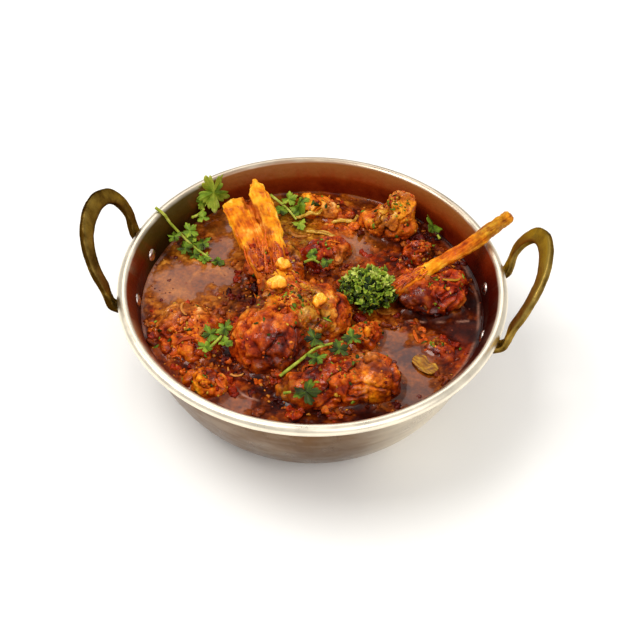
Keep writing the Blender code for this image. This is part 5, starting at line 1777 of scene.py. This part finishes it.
def in_pool(x: float, y: float, share: float) -> bool:
    """Whether a place lies within that share of any clear pool's radius."""
    return any(hypot(x - pool_x, y - pool_y) < share * size for pool_x, pool_y, size, *_ in Gravy.pools)


def painted(shell: Shell, palette: Palette, tone: float) -> Shell:
    """The same shell in one tone, a little lighter above."""
    shell.coat = palette.colours(tone + np.linspace(0.06, -0.06, len(shell.points())))
    return shell


def pebble(
    centre: Array, normal: Array, size: float, flat: float, rng: Draws, sides: int = 7, ragged: float = 0.28
) -> Shell:
    """A small uneven lump: three rings of a squashed ball with a random reach in each direction.

    Args:
        centre: Its middle.
        normal: Its short axis.
        size: Its radius.
        flat: Thickness for each unit of width.
        rng: The draw.
        sides: Points round it.
        ragged: How uneven its outline is.

    Returns:
        The lump.
    """
    across = unit(np.cross(normal, rng.normal(size=3)))
    aside = np.cross(normal, across)
    turn = once_round(sides)
    polar = np.radians([40, 90, 140])[:, None]
    reach = size * (1 + ragged * rng.uniform(-1, 1, (3, sides)))
    long_way = 1 + ragged * rng.uniform(-1, 1.6)
    x = reach * np.sin(polar) * np.cos(turn) * long_way
    y = reach * np.sin(polar) * np.sin(turn) / long_way
    z = reach * np.cos(polar) * flat
    rows = centre + x[..., None] * across + y[..., None] * aside + z[..., None] * normal
    tip = normal * size * flat
    return Shell(rows, centre + tip, centre - tip)


@dataclass
class Scatter:
    """Small loose bits: chopped herb, masala, oil beads and onion shreds."""

    terrain: Terrain  # heights of all the food
    points: Array  # places on the meat
    outward: Array  # the meat's outward directions there
    seed: int = 21  # starts the draws
    flecks: int = 230  # number of chopped herb flecks
    bits: int = 1300  # number of masala bits
    beads: int = 110  # number of oil beads
    shreds: int = 18  # number of onion shreds
    lumps: int = 400  # number of soft lumps of masala between the meat
    collar: int = 90  # how many of them gather where the bones leave the meat

    def build(self) -> None:
        """Make one piece of each kind."""
        rng = np.random.default_rng(self.seed)
        shown = (self.points[:, 2] > LEVEL + 0.3) & (self.outward[:, 2] > -0.15)
        shown &= self.points[:, 2] > self.terrain.at(self.points[:, 0], self.points[:, 1]) - 2.5
        self.points, self.outward = self.points[shown], self.outward[shown]
        for name, make, finish, slot in (
            ("chopped_herb_flecks", self.herb_flecks, FRESH_CILANTRO, "cilantro"),
            ("masala_bits", self.masala_bits, GROUND_MASALA, "meat"),
            ("masala_lumps", self.masala_lumps, BRAISED_MEAT, "meat"),
            ("chilli_oil_beads", self.oil_beads, CHILLI_OIL, "gravy"),
            ("onion_shreds", self.onion_shreds, COOKED_SLIVER, "ginger"),
        ):
            build_piece(name, make(rng), finish.material(), slot)

    def herb_flecks(self, rng: Draws) -> list[Shell]:
        """Flat flecks of chopped leaf on the meat.

        Args:
            rng: The draw.

        Returns:
            The flecks.
        """
        shells = []
        for index in rng.choice(len(self.points), self.flecks, replace=False):
            size = 0.35 + 0.75 * rng.random() ** 1.5
            tilt = unit(self.outward[index] + 0.45 * rng.normal(size=3))
            shell = pebble(self.points[index] + self.outward[index] * 0.12, tilt, size, 0.2, rng, 9, 0.5)
            shells.append(painted(shell, Palette.HERB, rng.uniform(0.05, 0.6)))
        return shells

    def masala_bits(self, rng: Draws) -> list[Shell]:
        """Grains of the paste, on the meat and afloat beside it.

        Args:
            rng: The draw.

        Returns:
            The grains.
        """
        shells = []
        for index in rng.choice(len(self.points), int(0.72 * self.bits), replace=False):
            size = 0.34 + 0.55 * rng.random() ** 2
            shell = pebble(self.points[index], self.outward[index], size, rng.uniform(0.5, 0.9), rng)
            palette = rng.choice([O, V, R], p=[0.5, 0.15, 0.35])
            shells.append(painted(shell, palette, rng.uniform(0.2, 0.75)))
        near = self.terrain.nearness(LEVEL + 2.5, 4)
        while len(shells) < self.bits:
            x, y = in_disc(67, rng)
            height = self.terrain.here(x, y)
            share = near.here(x, y)
            if height > LEVEL + 1.6 or rng.random() > share + 0.08 or in_pool(x, y, 1.1):
                continue
            size = 0.34 + 0.5 * rng.random() ** 2
            shell = pebble(np.array([x, y, height - 0.05]), UP, size, 0.5, rng)
            shells.append(painted(shell, Palette.MASALA, rng.uniform(0.35, 0.9)))
        return shells

    def masala_lumps(self, rng: Draws) -> list[Shell]:
        """Soft lumps of onion and tomato, half sunk between the pieces of meat and out of the pools.

        Args:
            rng: The draw.

        Returns:
            The lumps.
        """
        near = self.terrain.nearness(LEVEL + 2.5, 5)
        shells = []
        while len(shells) < self.lumps:
            x, y = in_disc(65, rng)
            collar = len(shells) < self.collar
            if collar:
                start, end, half, _ = Shreds.beds[int(rng.integers(len(Shreds.beds)))]
                way = (np.array(end) - start) * rng.uniform(0.35, 1.2)
                x, y = start + way + 0.7 * half * rng.normal(size=2)
            height = self.terrain.here(x, y)
            share = near.here(x, y)
            far = in_pool(x, y, 0.95) or rng.random() > 1.4 * share + 0.12
            if not collar and (far or height > LEVEL + 2.5):
                continue
            place = np.array([x, y, height - 0.15])
            size = rng.uniform(0.5, 1.1) if collar else 0.9 + 1.6 * rng.random() ** 1.5
            turn = rng.uniform(0, tau)
            ends = place, place + 0.8 * size * np.array([cos(turn), sin(turn), 0])
            axes = zip(ends, rng.uniform(0.7, 1.2, 2), rng.uniform(0.5, 1, 2))
            lobes = [(*(end - 0.2 * size * UP), size * a, size * b, 0.5 * size) for end, a, b in axes]
            shell = blended_ball(lobes, 11, 18, 0.4 * size)
            points = shell.points()
            shell.push(0.5 * size * fractal(points, 1.2 * size, 3, 0.7))
            palette = rng.choice([O, R, Palette.MASALA], p=[0.25, 0.25, 0.5])
            # Lumps in a thicket take its palette, so those in the painted shade of the hollow are dark too
            for patch_x, patch_y, radius, patch_palette, _ in () if collar else Gravy.thickets:
                if dist(place, (patch_x, patch_y, LEVEL)) < radius:
                    palette = patch_palette
            tone = rng.uniform(0.25, 0.55) + 0.2 * (points[:, 2] - place[2]) / size
            shell.coat = palette.colours(tone + 0.2 * noise(points, 1.2))
            shell.extra = {"oil": np.full(len(points), rng.uniform(0.0, 0.35))}
            shells.append(shell)
        return shells

    def oil_beads(self, rng: Draws) -> list[Shell]:
        """Flat round beads on the gravy, most of them small.

        Args:
            rng: The draw.

        Returns:
            The beads.
        """
        shells = []
        polar = np.radians([15, 40, 65, 90, 130])
        while len(shells) < self.beads:
            x, y = in_disc(67, rng)
            height = self.terrain.here(x, y)
            if height > LEVEL + 0.8:
                continue
            size = 0.35 + 0.75 * rng.random() ** 3
            centre, tip = np.array([x, y, height - 0.02]), UP * 0.22 * size
            profile = np.column_stack([size * np.sin(polar), 0.22 * size * np.cos(polar)])
            shell = Shell(centre + turn_profile(profile, 14), centre + tip, centre - tip)
            shells.append(painted(shell, Palette.GRAVY, rng.uniform(0.45, 0.8)))
        return shells

    def onion_shreds(self, rng: Draws) -> list[Shell]:
        """Thin curved shreds of fried onion, lying on gravy and low meat.

        Args:
            rng: The draw.

        Returns:
            The shreds.
        """
        shells = []
        steps = np.linspace(-0.5, 0.5, 16)
        while len(shells) < self.shreds:
            x, y = in_disc(60, rng)
            turns = tau * rng.random() + rng.uniform(-1.2, 1.2) * steps
            length = rng.uniform(4, 9)
            x = x + length * steps * np.cos(turns)
            y = y + length * steps * np.sin(turns)
            height = self.terrain.highest(x, y, 0.5)
            if height.max() > LEVEL + 12 or np.ptp(height) > 2.5 or in_pool(x[8], y[8], 1):
                continue
            path = np.column_stack([x, y, height + 0.12])
            width = rng.uniform(0.45, 0.9) * np.sin(np.linspace(0.15, 0.85, 16) * pi)
            shell = sweep(path, level_frame(path), width, np.full(16, 0.22), 8, 2.4)
            tone = np.full(len(shell.points()), rng.uniform(0.3, 0.75))
            shell.coat = rng.choice([T, O, V]).colours(tone)
            shells.append(shell)
        return shells


# -------- floor, light, camera


@dataclass
class Studio:
    """The pale floor, the soft light and the camera."""

    distance: float = 500.0  # from the rim's centre to the camera
    elevation: float = 46.24  # degrees above level
    azimuth: float = 5.98  # degrees to the right of the front
    roll: float = 1.62  # degrees that the camera is turned
    focal: float = 1291.25  # focal length in pixels of the picture
    shift: tuple[float, float] = (3.16, -15.92)  # millimetres that the camera is moved right and up
    picture: float = 640.0  # width of the picture in pixels
    sky: float = 0.66  # strength of the even sky

    def build(self) -> None:
        """Set up all three."""
        self.floor()
        world = bpy.data.worlds.new("sky")
        world.use_nodes = True
        bpy.context.scene.world = world
        background = world.node_tree.nodes["Background"]
        background.inputs["Color"].default_value = (1, 0.99, 0.97, 1)
        background.inputs["Strength"].default_value = self.sky
        e, a = radians(self.elevation), radians(self.azimuth)
        back = np.array([sin(a) * cos(e), -cos(a) * cos(e), sin(e)])
        window = UP * LEVEL + 900 * back * (-1, -1, 1)
        self.panel("window", window, (460, 330), 0.75, (1, 0.93, 0.9))
        self.panel("key", np.array([-360, -60, 760]), (420, 420), 3.85, (1, 0.98, 0.94))
        self.panel("fill", np.array([420, -480, 560]), (600, 600), 1.9, (1, 0.98, 0.96))
        self.camera(back, np.array([cos(a), sin(a), 0]))
        bpy.context.scene.view_settings.view_transform = "Standard"
        LOG.info("studio ready")

    def camera(self, back: Array, right: Array) -> None:
        """Put the camera where the photograph was taken from.

        Args:
            back: Direction from the food to the camera.
            right: Direction to the right in its picture before the roll.
        """
        up = np.cross(back, right)
        roll = radians(self.roll)
        across = right * cos(roll) + up * sin(roll)
        above = up * cos(roll) - right * sin(roll)
        place = back * self.distance + right * self.shift[0] + up * self.shift[1] + UP * RIM_HEIGHT
        data = bpy.data.cameras.new("camera")
        data.sensor_width = 36
        data.lens = self.focal / self.picture * data.sensor_width
        data.clip_start = 0.01
        obj = add_object("camera", data)
        columns = np.column_stack([across, above, back, place * MM])
        obj.matrix_world = Matrix([*columns.tolist(), [0, 0, 0, 1]])
        bpy.context.scene.camera = obj

    def panel(self, name: str, place: Array, size: tuple, power: float, colour: tuple) -> None:
        """One soft box that faces the food.

        Args:
            name: Its name.
            place: Where it hangs.
            size: Width and height.
            power: Watts.
            colour: Linear red, green and blue.
        """
        data = bpy.data.lights.new(name, "AREA")
        data.shape = "RECTANGLE"
        data.size, data.size_y = size[0] * MM, size[1] * MM
        data.energy = power
        data.color = colour
        obj = add_object(name, data)
        obj.location = Vector(place * MM)
        obj.rotation_euler = Vector(place - UP * LEVEL).to_track_quat("Z", "Y").to_euler()

    def floor(self) -> None:
        """A plain white floor with a faint unevenness, a little below the base."""
        size = 3000 * MM
        mesh = bpy.data.meshes.new("floor")
        corners = [(-size, -size, 0), (size, -size, 0), (size, size, 0), (-size, size, 0)]
        mesh.from_pydata(corners, [], [(0, 1, 2, 3)])
        obj = add_object("floor", mesh)
        obj.location.z = -0.2 * MM
        # White card: quite matt, with clouds of 12 cm that only just show
        material, node, place = new_material("matt white board")
        tint = node("TexNoise", {"Vector": place, "Scale": 8})
        colour = node("Mix", {0: tint, 6: linear("fbfaf8"), 7: linear("fefefd")}, 2, data_type="RGBA")
        node("OutputMaterial", {0: node("BsdfPrincipled", {"Base Color": colour, "Roughness": 0.9})})
        mesh.materials.append(material)


def main() -> None:
    """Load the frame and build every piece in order."""
    logging.basicConfig(level=logging.INFO, format="%(message)s")
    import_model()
    Studio().build()
    Karahi().build()
    Handles().build()
    meat = BRAISED_MEAT.material()
    terrain = Terrain()
    for chunk in CHUNKS:
        chunk.build(meat)
        terrain.add(chunk.points)
    bones = Bones()
    bones.build()
    GarlicBits().build()
    Gravy().build(terrain)
    terrain.add(bones.points)
    Shreds().build(terrain)
    Slivers().build(terrain)
    Cilantro().build(terrain)
    points = np.vstack([chunk.points for chunk in CHUNKS])
    Scatter(terrain, points, np.vstack([chunk.outward for chunk in CHUNKS])).build()


if __name__ == "__main__":
    main()
